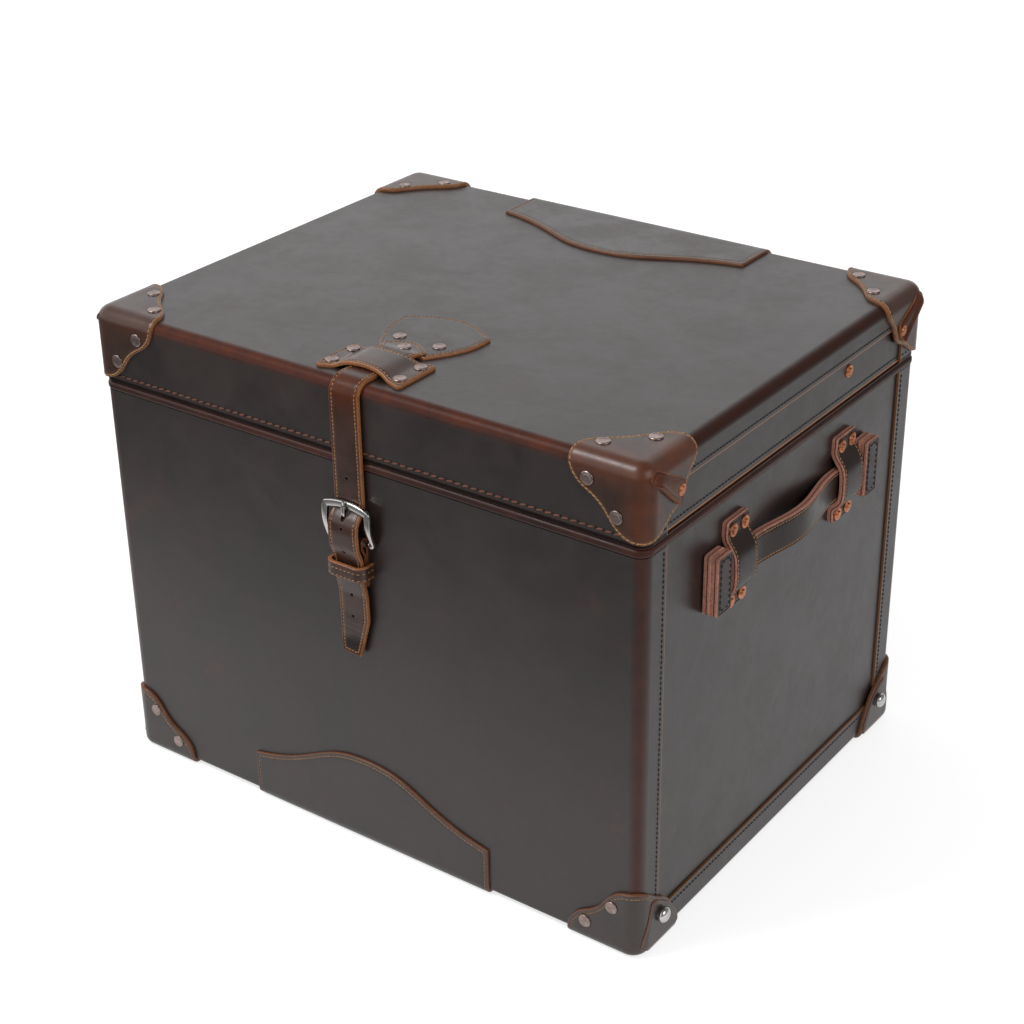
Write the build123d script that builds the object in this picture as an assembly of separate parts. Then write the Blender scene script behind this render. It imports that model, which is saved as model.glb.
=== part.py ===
from build123d import *
import math
import os

# Leather trunk with a hinged lid, a front strap and buckle, and a carrying handle on each side.
# Millimetres. X runs along the front, to the right. Y runs from the front to the back. Z is up.
# The origin is the middle of the footprint, on the floor.

# Overall box, over its leather
WIDTH = 499.0
DEPTH = 399.0
HEIGHT = 400.0
LID_DEPTH = 62.0

# Materials' thicknesses
SKIN = 2.0
BOARD = 8.0
LINING = 1.0
CAP_LEATHER = 3.0
PATCH_LEATHER = 2.5

# Rounding of the box
UPRIGHT_RADIUS = 10.0
LID_EDGE_RADIUS = 8.5
BASE_EDGE_RADIUS = 4.0

# Seams and edges of the panels
FLANGE = 27.5
BASE_STRIP_TOP = 27.0
LID_FLAP_BELOW_TOP = 24.0
WELT_HEIGHT = 6.5
WELT_PROUD = 0.8
WELT_ROUND = 2.4
LID_SEAT_GAP = 0.3
BINDING = 1.2
BINDING_SETBACK = 0.6
BINDING_LEG = 7.0

# General clearances
SEAT = 0.3
HOLE_CLEARANCE = 0.05
FAR = 1000.0

# Corner caps: outlines as distances from the corner along the two edges of each face
CAP_ALONG = 60.0
CAP_UPRIGHT = 54.5
CAP_MARGIN = 12.0
TOP_WAVE = [(59.0, 10.0), (53.5, 20.0), (43.5, 28.0), (35.2, 35.2), (28.0, 43.5), (20.0, 53.5), (10.0, 59.0)]
FACE_WAVE = [(58.5, 10.0), (51.5, 20.0), (40.5, 27.0), (31.5, 35.0), (25.0, 44.0), (15.0, 52.0)]
SIDE_WAVE = [(58.0, 10.0), (50.0, 19.0), (45.0, 28.0), (40.0, 36.0), (30.0, 40.5), (19.0, 48.0), (9.0, 53.0)]
DART = [(3.0, 9.0), (9.0, 3.0), (45.0, 22.0), (45.0, 32.0), (38.0, 37.0)]
DART_LEATHER = 2.5
TOP_NAILS = [(45.0, 18.0), (20.0, 43.0)]
FACE_NAILS = [(44.0, 15.0), (21.0, 37.5)]
DART_RIVET = (36.5, 26.0)
SIDE_STUD = (27.0, 20.5)

# Nails, copper rivets and steel studs
NAIL_HEAD_RADIUS = 5.75
NAIL_HEAD = 1.3
NAIL_ROUND = 1.0
NAIL_SHANK_RADIUS = 1.6
NAIL_IN_BOARD = 6.0
BURR_RADIUS = 5.2
BURR = 1.2
BURR_ROUND = 0.7
PEEN_RADIUS = 2.6
PEEN = 1.2
PEEN_ROUND = 0.8
RIVET_SHANK_RADIUS = 1.8
RIVET_HEAD_RADIUS = 5.0
RIVET_HEAD = 1.2
STUD_RADIUS = 5.5
STUD_LENGTH = 6.0
STUD_ROUND = 0.8

# Wavy patches on the front's foot and the lid's rear
PATCH_HALF = 116.5
PATCH_END_RISE = 38.5
PATCH_WAVE = [(95.0, 43.5), (60.0, 57.5), (30.0, 71.0)]
PATCH_MIDDLE_RISE = 75.0
PATCH_WRAP = 24.0
REAR_PATCH_EXTRA = 8.0

# Shield and bridge on the lid
SHIELD_HALF = 40.0
SHIELD_CORNER_Y = -82.5
SHIELD_PEAK_Y = -66.5
SHIELD_FOOT_HALF = 21.0
SHIELD_FOOT_Y = -137.0
SHIELD_WAIST = [(39.5, -100.0), (33.5, -117.0)]
SHIELD_NAIL = (18.3, -115.6)
BRIDGE_HALF = 42.5
BRIDGE_NEAR_Y = -190.8
BRIDGE_FAR_Y = -142.8
BRIDGE_NEAR_HOLLOW = 11.0
BRIDGE_FAR_HOLLOW = 6.5
BRIDGE_SHOULDER = 6.5
BRIDGE_SIDE_GAP = 1.5
BRIDGE_NAIL_X = 31.0
BRIDGE_NAIL_YS = (-153.6, -177.6)

# Strap, its buckle and keeper; heights are drops below the rim, or from the buckle's bar
STRAP_WIDTH = 26.0
STRAP = 4.0
STRAP_STANDOFF = 1.2
STRAP_BEND = 12.0
STRAP_STEP_START = 2.5
STRAP_STEP_END = 11.0
STRAP_HINGE_DROP = 13.0
STRAP_END_PEAK_Y = -121.5
STRAP_END_HALF = 20.0
STRAP_END_CORNER_Y = -132.0
STRAP_END_NECK_Y = -150.0
STRAP_END_NAIL_Y = -133.5
BAR_DROP = 63.0
STRAP_TIP_BELOW_BAR = 97.0
STRAP_TIP_CUT = 26.0
STRAP_TIP_INSET = 10.5
STRAP_LIFT_TO_TIP = 1.2
STRAP_DROPS_IN = 24.0
STRAP_OVER_BAR = 9.0
HOLE_PITCH = 19.2
HOLE_RADIUS = 1.5
FIRST_HOLE_ABOVE_BAR = 52.0
HOLE_COUNT = 7
HIDDEN_HOLES = (1, 4)
CHAPE_LEATHER = 2.2
CHAPE_WIDTH = 25.0
CHAPE_BELOW_BAR = 37.5
CHAPE_LEG_STRAIGHT = 4.5
CHAPE_LEG_JOIN = 12.0
CHAPE_NAIL_DROPS = (19.5, 31.2)
BAR_RADIUS = 1.6
PRONG_WIDTH = 3.6
PRONG = 2.3
PRONG_SIDE_GAP = 0.4
PRONG_FLAT = 15.0
PRONG_PAST_RAIL = 2.0
FRAME_WIDTH = 44.0
FRAME_ARM = 5.0
FRAME_THICKNESS = 3.4
FRAME_ABOVE_BAR = 32.0
FRAME_RAIL = 4.2
FRAME_ARCH = 2.0
KEEPER_LEATHER = 2.4
KEEPER_SIDE_GAP = 1.0
KEEPER_BELOW_BAR = 15.0
KEEPER_HEIGHT = 12.0

# Handles on the two sides; heights are drops below the rim
GRIP = 6.0
GRIP_HEIGHT = 26.0
GRIP_ROUND = 1.0
GRIP_DROP = 61.0
GRIP_OFF = 1.0
GRIP_BOW = 7.5
GRIP_BOW_HALF = 60.0
HANDLE_HALF = 121.0
STOP_LENGTH = 20.0
STOP_HEIGHT = 47.0
STOP = 6.0
LOOP_Y = 81.0
LOOP_WIDTH = 30.0
LOOP = 5.0
LOOP_TOP_DROP = 22.5
LOOP_FOOT_DROP = 94.0
LOOP_TOP_MARGIN = 8.0
LOOP_FOOT_MARGIN = 6.3
LOOP_BEND_ROOM = 2.4
LOOP_OVER_GRIP = 2.5
LOOP_UNDER_GRIP = 1.5
LOOP_GAP = 0.6
LOOP_RIVET_PITCH = 16.0

# Hinges at the back
HINGE_X = 150.0
HINGE_LENGTH = 60.0
LEAF = 2.0
LEAF_DROP = 32.0
LEAF_NAIL_DROP = 19.8
BARREL_RADIUS = 3.5
PIN_RADIUS = 1.75
PIN_CLEARANCE = 0.05
PIN_HEAD = 1.4
PIN_HEAD_RADIUS = 2.6
KNUCKLE_GAP = 0.3
LID_KNUCKLE = 20.0
HINGE_AXIS_RISE = 0.75
HINGE_NAIL_PITCH = 20.0

# Stay straps inside, from the body's sides to the lid's sides; heights are from the rim
STAY = 2.0
STAY_WIDTH = 16.0
STAY_BEND = 9.6
STAY_LID_Y = 86.0
STAY_LID_RISE = 25.5
STAY_FOLD = [(150.0, -19.0), (158.0, 1.0), (148.0, 17.0)]

# Places worked out from the sizes above
HALF_W = WIDTH / 2
HALF_D = DEPTH / 2
BASE_Z = CAP_LEATHER
LID_TOP = HEIGHT - CAP_LEATHER
RIM_TOP = HEIGHT - LID_DEPTH
WELT_LOW = RIM_TOP - WELT_HEIGHT
BOARD_TOP = RIM_TOP - SKIN
BOARD_LOW = BASE_Z + SKIN
LID_LOW = RIM_TOP + LID_SEAT_GAP + BINDING
LID_BOARD_TOP = LID_TOP - SKIN
FLAP_Z = LID_TOP - LID_FLAP_BELOW_TOP
FLANGE_Y = HALF_D - FLANGE
SIDE_FACE = HALF_W - SKIN
BOARD_X = HALF_W - 2 * SKIN
BOARD_Y = HALF_D - SKIN
ROOM_X = BOARD_X - BOARD
ROOM_Y = BOARD_Y - BOARD
CAVITY_X = ROOM_X - LINING
CAVITY_Y = ROOM_Y - LINING
AXIS_Y = HALF_D + SEAT + BARREL_RADIUS
AXIS_Z = RIM_TOP + HINGE_AXIS_RISE
GRIP_Z = RIM_TOP - GRIP_DROP
LOOP_TOP_Z = RIM_TOP - LOOP_TOP_DROP
LOOP_FOOT_Z = RIM_TOP - LOOP_FOOT_DROP
LOOP_RIVET_ZS = (LOOP_TOP_Z - LOOP_TOP_MARGIN, LOOP_FOOT_Z + LOOP_FOOT_MARGIN)
STRAP_HINGE_Z = LID_TOP - STRAP_HINGE_DROP
BAR_Z = RIM_TOP - BAR_DROP
FRAME_TOP_Z = BAR_Z + FRAME_ABOVE_BAR
KEEPER_TOP_Z = BAR_Z - KEEPER_BELOW_BAR
KEEPER_LOW_Z = KEEPER_TOP_Z - KEEPER_HEIGHT
CHAPE_FOOT_Z = BAR_Z - CHAPE_BELOW_BAR
STRAP_TIP_Z = BAR_Z - STRAP_TIP_BELOW_BAR
STAY_LID_Z = RIM_TOP + STAY_LID_RISE
BEYOND = 50.0

os.makedirs("parts", exist_ok=True)


# Helpers

def slab(x0, x1, y0, y1, z0, z1):
    """Square-edged block between two corners."""
    return Pos((x0 + x1) / 2, (y0 + y1) / 2, (z0 + z1) / 2) * Box(x1 - x0, y1 - y0, z1 - z0)


def between(shape, x=(-FAR, FAR), y=(-FAR, FAR), z=(-FAR, FAR)):
    """Part of a shape between given planes; each pair may come in either order."""
    (x0, x1), (y0, y1), (z0, z1) = sorted(x), sorted(y), sorted(z)
    return shape & slab(x0, x1, y0, y1, z0, z1)


def rounded_block(inset, low, high, low_radius=0.0, high_radius=0.0):
    """The trunk's outline, drawn in by inset, between two heights, with rounded rims."""
    outline = RectangleRounded(WIDTH - 2 * inset, DEPTH - 2 * inset, UPRIGHT_RADIUS - inset)
    block = Pos(0, 0, low) * extrude(outline, high - low)
    if low_radius > 0:
        block = fillet(block.edges().group_by(Axis.Z)[0], low_radius)
    if high_radius > 0:
        block = fillet(block.edges().group_by(Axis.Z)[-1], high_radius)
    return block


def board_block(low, high, low_radius=0.0, high_radius=0.0):
    """Outline of the wooden boards, inside the leathers."""
    outline = RectangleRounded(2 * BOARD_X, 2 * BOARD_Y, UPRIGHT_RADIUS - SKIN)
    block = Pos(0, 0, low) * extrude(outline, high - low)
    if low_radius > 0:
        block = fillet(block.edges().group_by(Axis.Z)[0], low_radius)
    if high_radius > 0:
        block = fillet(block.edges().group_by(Axis.Z)[-1], high_radius)
    return block


def band_face(points, thickness, bend, plane):
    """Face of a strip of even thickness along a bent mid-line given in the plane."""
    half = thickness / 2
    count = len(points)
    left, right, left_radii, right_radii = [], [], [], []
    for i in range(count):
        before = points[max(i - 1, 0)]
        here = points[i]
        after = points[min(i + 1, count - 1)]
        incoming = Vector(here[0] - before[0], here[1] - before[1])
        outgoing = Vector(after[0] - here[0], after[1] - here[1])
        if i == 0:
            incoming = outgoing
        if i == count - 1:
            outgoing = incoming
        a = incoming.normalized()
        b = outgoing.normalized()
        turn = math.atan2(a.X * b.Y - a.Y * b.X, a.X * b.X + a.Y * b.Y)
        middle = (a + b).normalized()
        reach = half / math.cos(turn / 2)
        left.append((here[0] - middle.Y * reach, here[1] + middle.X * reach))
        right.append((here[0] + middle.Y * reach, here[1] - middle.X * reach))
        ends = i in (0, count - 1)
        side = math.copysign(half, turn)
        left_radii.append(0.0 if ends else bend - side)
        right_radii.append(0.0 if ends else bend + side)
    line = FilletPolyline(*(left + right[::-1]), radius=left_radii + right_radii[::-1], close=True)
    return plane * make_face(line)


def band(points, thickness, bend, plane, width):
    """Strip of even thickness and width along a bent mid-line, centred on the plane."""
    return extrude(band_face(points, thickness, bend, plane), width / 2, both=True)


def front_line(points):
    """Points given as (distance off the front leather, height), as (y, z)."""
    return [(-HALF_D - off, z) for off, z in points]


def facing(x, y, z, direction):
    """Place on a surface, with its own Z pointing out of it."""
    return Plane(origin=(x, y, z), z_dir=direction)


def post(place, radius, low, high):
    """Round post along a place's Z, between two heights."""
    return place * (Pos(0, 0, (low + high) / 2) * Cylinder(radius, high - low))


def drill(shape, places, radius, depth):
    """Round holes into a shape at each place."""
    for place in places:
        shape = shape - post(place, radius + HOLE_CLEARANCE, -depth, BEYOND / 4)
    return shape


def nail(place, reach):
    """Domed trunk nail: its head lies on the place, its shank goes reach deep."""
    head = Pos(0, 0, NAIL_HEAD / 2) * Cylinder(NAIL_HEAD_RADIUS, NAIL_HEAD)
    head = fillet(head.edges().sort_by(Axis.Z)[-1], NAIL_ROUND)
    shank = Pos(0, 0, -reach / 2) * Cylinder(NAIL_SHANK_RADIUS, reach)
    return place * (head + shank)


def copper_rivet(place, grip):
    """Copper rivet: burr and peened end outside, flat head inside the wall."""
    burr = Pos(0, 0, BURR / 2) * Cylinder(BURR_RADIUS, BURR)
    burr = fillet(burr.edges().sort_by(Axis.Z)[-1], BURR_ROUND)
    peen = Pos(0, 0, BURR + PEEN / 2) * Cylinder(PEEN_RADIUS, PEEN)
    peen = fillet(peen.edges().sort_by(Axis.Z)[-1], PEEN_ROUND)
    shank = Pos(0, 0, -grip / 2) * Cylinder(RIVET_SHANK_RADIUS, grip)
    head = Pos(0, 0, -grip - RIVET_HEAD / 2) * Cylinder(RIVET_HEAD_RADIUS, RIVET_HEAD)
    return place * (burr + peen + shank + head)


def copper_nail(place, reach):
    """Copper burr with a short shank into the board."""
    burr = Pos(0, 0, BURR / 2) * Cylinder(BURR_RADIUS, BURR)
    burr = fillet(burr.edges().sort_by(Axis.Z)[-1], BURR_ROUND)
    peen = Pos(0, 0, BURR + PEEN / 2) * Cylinder(PEEN_RADIUS, PEEN)
    peen = fillet(peen.edges().sort_by(Axis.Z)[-1], PEEN_ROUND)
    shank = Pos(0, 0, -reach / 2) * Cylinder(RIVET_SHANK_RADIUS, reach)
    return place * (burr + peen + shank)


def steel_stud(place, reach):
    """Short steel stud with a flat end."""
    stud = Pos(0, 0, STUD_LENGTH / 2) * Cylinder(STUD_RADIUS, STUD_LENGTH)
    stud = fillet(stud.edges().sort_by(Axis.Z)[-1], STUD_ROUND)
    shank = Pos(0, 0, -reach / 2) * Cylinder(RIVET_SHANK_RADIUS, reach)
    return place * (stud + shank)


def write(name, shape):
    """Save one sub-part; a list is a group of separate solids."""
    if isinstance(shape, (list, tuple)):
        solids = [solid for piece in shape for solid in piece.solids()]
        shape = Compound(children=solids)
    export_step(shape, "parts/" + name + ".step")


# Places of the fasteners

def corner_places(points, make):
    """One place for each point at each of the four upright corners."""
    places = []
    for side in (-1, 1):
        for end in (-1, 1):
            for a, b in points:
                places.append(make(side, end, a, b))
    return places


def top_place(side, end, a, b):
    return facing(side * (HALF_W - a), end * (HALF_D - b), HEIGHT, (0, 0, 1))


def lid_face_place(side, end, a, b):
    return facing(side * (HALF_W - a), end * (HALF_D + CAP_LEATHER), LID_TOP - b, (0, end, 0))


def base_face_place(side, end, a, b):
    return facing(side * (HALF_W - a), end * (HALF_D + CAP_LEATHER), BASE_Z + b, (0, end, 0))


def dart_place(side, end, a, b):
    off = CAP_LEATHER + DART_LEATHER
    return facing(side * (HALF_W + off), end * (HALF_D - a), LID_TOP - b, (side, 0, 0))


def stud_place(side, end, a, b):
    off = CAP_LEATHER + DART_LEATHER
    return facing(side * (HALF_W + off), end * (HALF_D - a), BASE_Z + b, (side, 0, 0))


CAP_NAIL_REACH = CAP_LEATHER + SKIN + NAIL_IN_BOARD
DART_REACH = DART_LEATHER + CAP_LEATHER + 2 * SKIN + NAIL_IN_BOARD
LID_TOP_NAILS = corner_places(TOP_NAILS, top_place)
LID_FACE_NAILS = corner_places(FACE_NAILS, lid_face_place)
BASE_FACE_NAILS = corner_places(FACE_NAILS, base_face_place)
DART_RIVETS = corner_places([DART_RIVET], dart_place)
BASE_STUDS = corner_places([SIDE_STUD], stud_place)

LOOP_FACE = SIDE_FACE + LOOP
LOOP_GRIP = LOOP + SKIN + BOARD + LINING
LOOP_RIVETS = []
STAY_RIVETS = []
for side in (-1, 1):
    for end in (-1, 1):
        for z in LOOP_RIVET_ZS:
            for step in (-1, 1):
                y = end * LOOP_Y + step * LOOP_RIVET_PITCH / 2
                spot = facing(side * LOOP_FACE, y, z, (side, 0, 0))
                holds_stay = end > 0 and z == LOOP_RIVET_ZS[0]
                (STAY_RIVETS if holds_stay else LOOP_RIVETS).append(spot)
LID_STAY_RIVETS = [facing(side * SIDE_FACE, STAY_LID_Y, STAY_LID_Z, (side, 0, 0)) for side in (-1, 1)]
LID_STAY_GRIP = SKIN + BOARD + LINING

CHAPE_DEPTH = 2 * CHAPE_LEATHER
CHAPE_NAILS = [facing(0, -HALF_D - CHAPE_DEPTH, BAR_Z - drop, (0, -1, 0)) for drop in CHAPE_NAIL_DROPS]
CHAPE_NAIL_REACH = CHAPE_DEPTH + SKIN + NAIL_IN_BOARD

HINGE_NAIL_XS = [centre + step * HINGE_NAIL_PITCH for centre in (-HINGE_X, HINGE_X) for step in (-1, 0, 1)]
LEAF_FACE = HALF_D + LEAF
HINGE_NAIL_REACH = LEAF + SKIN + NAIL_IN_BOARD
BODY_HINGE_NAILS = [facing(x, LEAF_FACE, AXIS_Z - LEAF_NAIL_DROP, (0, 1, 0)) for x in HINGE_NAIL_XS]
LID_HINGE_NAILS = [facing(x, LEAF_FACE, AXIS_Z + LEAF_NAIL_DROP, (0, 1, 0)) for x in HINGE_NAIL_XS]

SHIELD_TOP = LID_TOP + PATCH_LEATHER
SHIELD_NAILS = [facing(side * SHIELD_NAIL[0], SHIELD_NAIL[1], SHIELD_TOP, (0, 0, 1)) for side in (-1, 1)]
STRAP_END_NAIL = [facing(0, STRAP_END_NAIL_Y, SHIELD_TOP + STRAP, (0, 0, 1))]
BRIDGE_TOP = LID_TOP + CAP_LEATHER
BRIDGE_NAILS = []
for y in BRIDGE_NAIL_YS:
    BRIDGE_NAILS += [facing(side * BRIDGE_NAIL_X, y, BRIDGE_TOP, (0, 0, 1)) for side in (-1, 1)]


def drill_body(shape):
    """Fastener holes through whatever part of the body a shape is."""
    shape = drill(shape, BASE_FACE_NAILS, NAIL_SHANK_RADIUS, CAP_NAIL_REACH)
    shape = drill(shape, CHAPE_NAILS, NAIL_SHANK_RADIUS, CHAPE_NAIL_REACH)
    shape = drill(shape, BODY_HINGE_NAILS, NAIL_SHANK_RADIUS, HINGE_NAIL_REACH)
    return shape


def drill_body_side(shape, side):
    """Fastener holes through a shape on one side of the body."""
    mine = [p for p in LOOP_RIVETS + STAY_RIVETS if p.origin.X * side > 0]
    shape = drill(shape, mine, RIVET_SHANK_RADIUS, LOOP_GRIP + STAY)
    studs = [p for p in BASE_STUDS if p.origin.X * side > 0]
    return drill(shape, studs, RIVET_SHANK_RADIUS, DART_REACH)


def drill_lid(shape):
    """Fastener holes through whatever part of the lid a shape is."""
    shape = drill(shape, LID_TOP_NAILS + LID_FACE_NAILS, NAIL_SHANK_RADIUS, CAP_NAIL_REACH)
    shape = drill(shape, LID_HINGE_NAILS, NAIL_SHANK_RADIUS, HINGE_NAIL_REACH)
    shape = drill(shape, SHIELD_NAILS, NAIL_SHANK_RADIUS, CAP_NAIL_REACH)
    shape = drill(shape, STRAP_END_NAIL, NAIL_SHANK_RADIUS, STRAP + CAP_NAIL_REACH)
    return drill(shape, BRIDGE_NAILS, NAIL_SHANK_RADIUS, CAP_NAIL_REACH)


def drill_lid_side(shape, side):
    """Fastener holes through a shape on one side of the lid."""
    darts = [p for p in DART_RIVETS if p.origin.X * side > 0]
    shape = drill(shape, darts, RIVET_SHANK_RADIUS, DART_REACH)
    stays = [p for p in LID_STAY_RIVETS if p.origin.X * side > 0]
    return drill(shape, stays, RIVET_SHANK_RADIUS, LID_STAY_GRIP + STAY)


SIDES = ((-1, "left"), (1, "right"))

# Wooden boards of the body
body_block = board_block(BOARD_LOW, BOARD_TOP, low_radius=BASE_EDGE_RADIUS - SKIN)
write("front_board", drill_body(between(body_block, y=(-HALF_D, -ROOM_Y))))
write("back_board", drill_body(between(body_block, y=(ROOM_Y, HALF_D))))
for side, name in SIDES:
    board = between(body_block, x=(side * ROOM_X, side * HALF_W), y=(-ROOM_Y, ROOM_Y))
    write(name + "_board", drill_body_side(board, side))
write("base_board", slab(-ROOM_X, ROOM_X, -ROOM_Y, ROOM_Y, BOARD_LOW, BOARD_LOW + BOARD))

# Leathers of the body
outer = rounded_block(0, BASE_Z, WELT_LOW, low_radius=BASE_EDGE_RADIUS)
inner = rounded_block(SKIN, BOARD_LOW, WELT_LOW, low_radius=BASE_EDGE_RADIUS - SKIN)
shell = outer - inner
front_leather = between(shell, y=(-FAR, -FLANGE_Y))
back_leather = between(shell, y=(FLANGE_Y, FAR))
base_leather = between(shell, y=(-FLANGE_Y, FLANGE_Y), z=(0, BASE_STRIP_TOP))
write("front_leather", drill_body_side(drill_body_side(drill_body(front_leather), 1), -1))
write("back_leather", drill_body_side(drill_body_side(drill_body(back_leather), 1), -1))
write("base_leather", drill_body_side(drill_body_side(base_leather, 1), -1))
flat_reach = HALF_D - UPRIGHT_RADIUS
for side, name in SIDES:
    x0, x1 = sorted((side * BOARD_X, side * SIDE_FACE))
    panel = slab(x0, x1, -flat_reach, flat_reach, BASE_Z + BASE_EDGE_RADIUS, WELT_LOW)
    write(name + "_leather", drill_body_side(panel, side))

# Rolled welt over the body's rim, trimmed behind the hinges
welt_outline = RectangleRounded(WIDTH + 2 * WELT_PROUD, DEPTH + 2 * WELT_PROUD, UPRIGHT_RADIUS + WELT_PROUD)
welt = Pos(0, 0, WELT_LOW) * extrude(welt_outline, WELT_HEIGHT)
welt = fillet(welt.edges().group_by(Axis.Z)[-1], WELT_ROUND)
welt = fillet(welt.edges().group_by(Axis.Z)[0], WELT_ROUND)
walls = board_block(0, BOARD_TOP) - slab(-ROOM_X, ROOM_X, -ROOM_Y, ROOM_Y, 0, BOARD_TOP)
welt = welt - walls - slab(-CAVITY_X, CAVITY_X, -CAVITY_Y, CAVITY_Y, 0, HEIGHT)
for centre in (-HINGE_X, HINGE_X):
    reach = HINGE_LENGTH / 2 + PIN_HEAD + SEAT
    welt = welt - slab(centre - reach, centre + reach, HALF_D - SEAT, HALF_D + BEYOND, 0, HEIGHT)
write("rim_welt", welt)

# Lining of the body
lining = slab(-ROOM_X, ROOM_X, -ROOM_Y, ROOM_Y, BOARD_LOW + BOARD, WELT_LOW)
lining = lining - slab(-CAVITY_X, CAVITY_X, -CAVITY_Y, CAVITY_Y, BOARD_LOW + BOARD + LINING, HEIGHT)
write("body_lining", drill_body_side(drill_body_side(lining, 1), -1))


# Corner caps

def outline_face(along, upright, wave, at):
    """Face of a cap's outline; at turns distances from the corner into a point."""
    start = at(along, 0)
    finish = at(0, upright)
    curve = Spline(
        start,
        *[at(a, b) for a, b in wave],
        finish,
        tangents=[at(along, 1) - start, finish - at(1, upright)],
    )
    rest = Polyline(
        finish,
        at(-CAP_MARGIN, upright),
        at(-CAP_MARGIN, -CAP_MARGIN),
        at(along, -CAP_MARGIN),
        start,
    )
    return make_face([curve, rest])


def cap_from(skin_block, level, down, edge_radius):
    """Cap on the front right corner, cut from a skin; level is its flat face's height."""
    flat = outline_face(CAP_ALONG, CAP_ALONG, TOP_WAVE, lambda a, b: Vector(HALF_W - a, b - HALF_D, level))
    face = outline_face(
        CAP_ALONG, CAP_UPRIGHT, FACE_WAVE, lambda a, b: Vector(HALF_W - a, -HALF_D, level - down * b)
    )
    flank = outline_face(
        CAP_ALONG, CAP_UPRIGHT, SIDE_WAVE, lambda a, b: Vector(HALF_W, a - HALF_D, level - down * b)
    )
    flat_zone = extrude(flat, edge_radius, dir=(0, 0, -down)) + extrude(flat, CAP_MARGIN, dir=(0, 0, down))
    face_zone = extrude(face, UPRIGHT_RADIUS, dir=(0, 1, 0)) + extrude(face, CAP_MARGIN, dir=(0, -1, 0))
    flank_zone = extrude(flank, UPRIGHT_RADIUS, dir=(-1, 0, 0)) + extrude(flank, CAP_MARGIN, dir=(1, 0, 0))
    cap = (skin_block & flat_zone) + (skin_block & face_zone) + (skin_block & flank_zone)
    corners = [Vector(HALF_W + CAP_LEATHER, a - HALF_D, level - down * b) for a, b in DART]
    dart = extrude(make_face(Polyline(*corners, close=True)), DART_LEATHER, dir=(1, 0, 0))
    return cap + dart


def corner_box(shape):
    """Part of a shape near the front right corner."""
    reach = CAP_ALONG + CAP_MARGIN
    return between(shape, x=(HALF_W - reach, FAR), y=(-FAR, reach - HALF_D))


lid_skin = rounded_block(
    -CAP_LEATHER, LID_LOW, HEIGHT, high_radius=LID_EDGE_RADIUS + CAP_LEATHER
) - rounded_block(0, LID_LOW, LID_TOP, high_radius=LID_EDGE_RADIUS)
base_skin = rounded_block(
    -CAP_LEATHER, 0, WELT_LOW, low_radius=BASE_EDGE_RADIUS + CAP_LEATHER
) - rounded_block(0, BASE_Z, WELT_LOW, low_radius=BASE_EDGE_RADIUS)
lid_cap = cap_from(corner_box(lid_skin), LID_TOP, 1, LID_EDGE_RADIUS)
base_cap = cap_from(corner_box(base_skin), BASE_Z, -1, BASE_EDGE_RADIUS)
near_nails = [p for p in LID_TOP_NAILS + LID_FACE_NAILS if p.origin.X > 0 and p.origin.Y < 0]
lid_cap = drill(lid_cap, near_nails, NAIL_SHANK_RADIUS, CAP_NAIL_REACH)
near_rivet = [p for p in DART_RIVETS if p.origin.X > 0 and p.origin.Y < 0]
lid_cap = drill(lid_cap, near_rivet, RIVET_SHANK_RADIUS, DART_REACH)
near_nails = [p for p in BASE_FACE_NAILS if p.origin.X > 0 and p.origin.Y < 0]
base_cap = drill(base_cap, near_nails, NAIL_SHANK_RADIUS, CAP_NAIL_REACH)
near_stud = [p for p in BASE_STUDS if p.origin.X > 0 and p.origin.Y < 0]
base_cap = drill(base_cap, near_stud, RIVET_SHANK_RADIUS, DART_REACH)
for label, cap in (("lid_cap", lid_cap), ("base_cap", base_cap)):
    write(label + "_front_right", cap)
    write(label + "_front_left", mirror(cap, about=Plane.YZ))
    back = mirror(cap, about=Plane.XZ)
    write(label + "_back_right", back)
    write(label + "_back_left", mirror(back, about=Plane.YZ))

# Fasteners of the body
body_nails = [nail(p, CAP_NAIL_REACH) for p in BASE_FACE_NAILS]
body_nails += [nail(p, CHAPE_NAIL_REACH) for p in CHAPE_NAILS]
write("body_nails", body_nails)
write("base_studs", [steel_stud(p, DART_REACH) for p in BASE_STUDS])
handle_rivets = [copper_rivet(p, LOOP_GRIP) for p in LOOP_RIVETS]
handle_rivets += [copper_rivet(p, LOOP_GRIP + STAY) for p in STAY_RIVETS]
write("handle_rivets", handle_rivets)


# Wavy patches

def patch_outline(at, extra):
    """Face of a patch; at turns (across, rise) into a point, rise counted from the edge."""
    rises = [(PATCH_HALF, PATCH_END_RISE)] + PATCH_WAVE + [(0.0, PATCH_MIDDLE_RISE)]
    right = [at(a, b + extra) for a, b in rises]
    left = [at(-a, b + extra) for a, b in rises[-2::-1]]
    curve = Spline(*right, *left)
    rest = Polyline(left[-1], at(-PATCH_HALF, -CAP_MARGIN), at(PATCH_HALF, -CAP_MARGIN), right[0])
    return make_face([curve, rest])


thin_skin = rounded_block(
    -PATCH_LEATHER, BASE_Z - PATCH_LEATHER, WELT_LOW, low_radius=BASE_EDGE_RADIUS + PATCH_LEATHER
) - rounded_block(0, BASE_Z, WELT_LOW, low_radius=BASE_EDGE_RADIUS)
outline = patch_outline(lambda a, b: Vector(a, -HALF_D, BASE_Z + b), 0)
front_zone = extrude(outline, BASE_EDGE_RADIUS, dir=(0, 1, 0)) + extrude(outline, CAP_MARGIN, dir=(0, -1, 0))
under_part = between(
    thin_skin, x=(-PATCH_HALF, PATCH_HALF), y=(-FAR, PATCH_WRAP - HALF_D), z=(0, BASE_Z + BASE_EDGE_RADIUS)
)
front_patch = (thin_skin & front_zone) + under_part
write("front_patch", front_patch)

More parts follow.
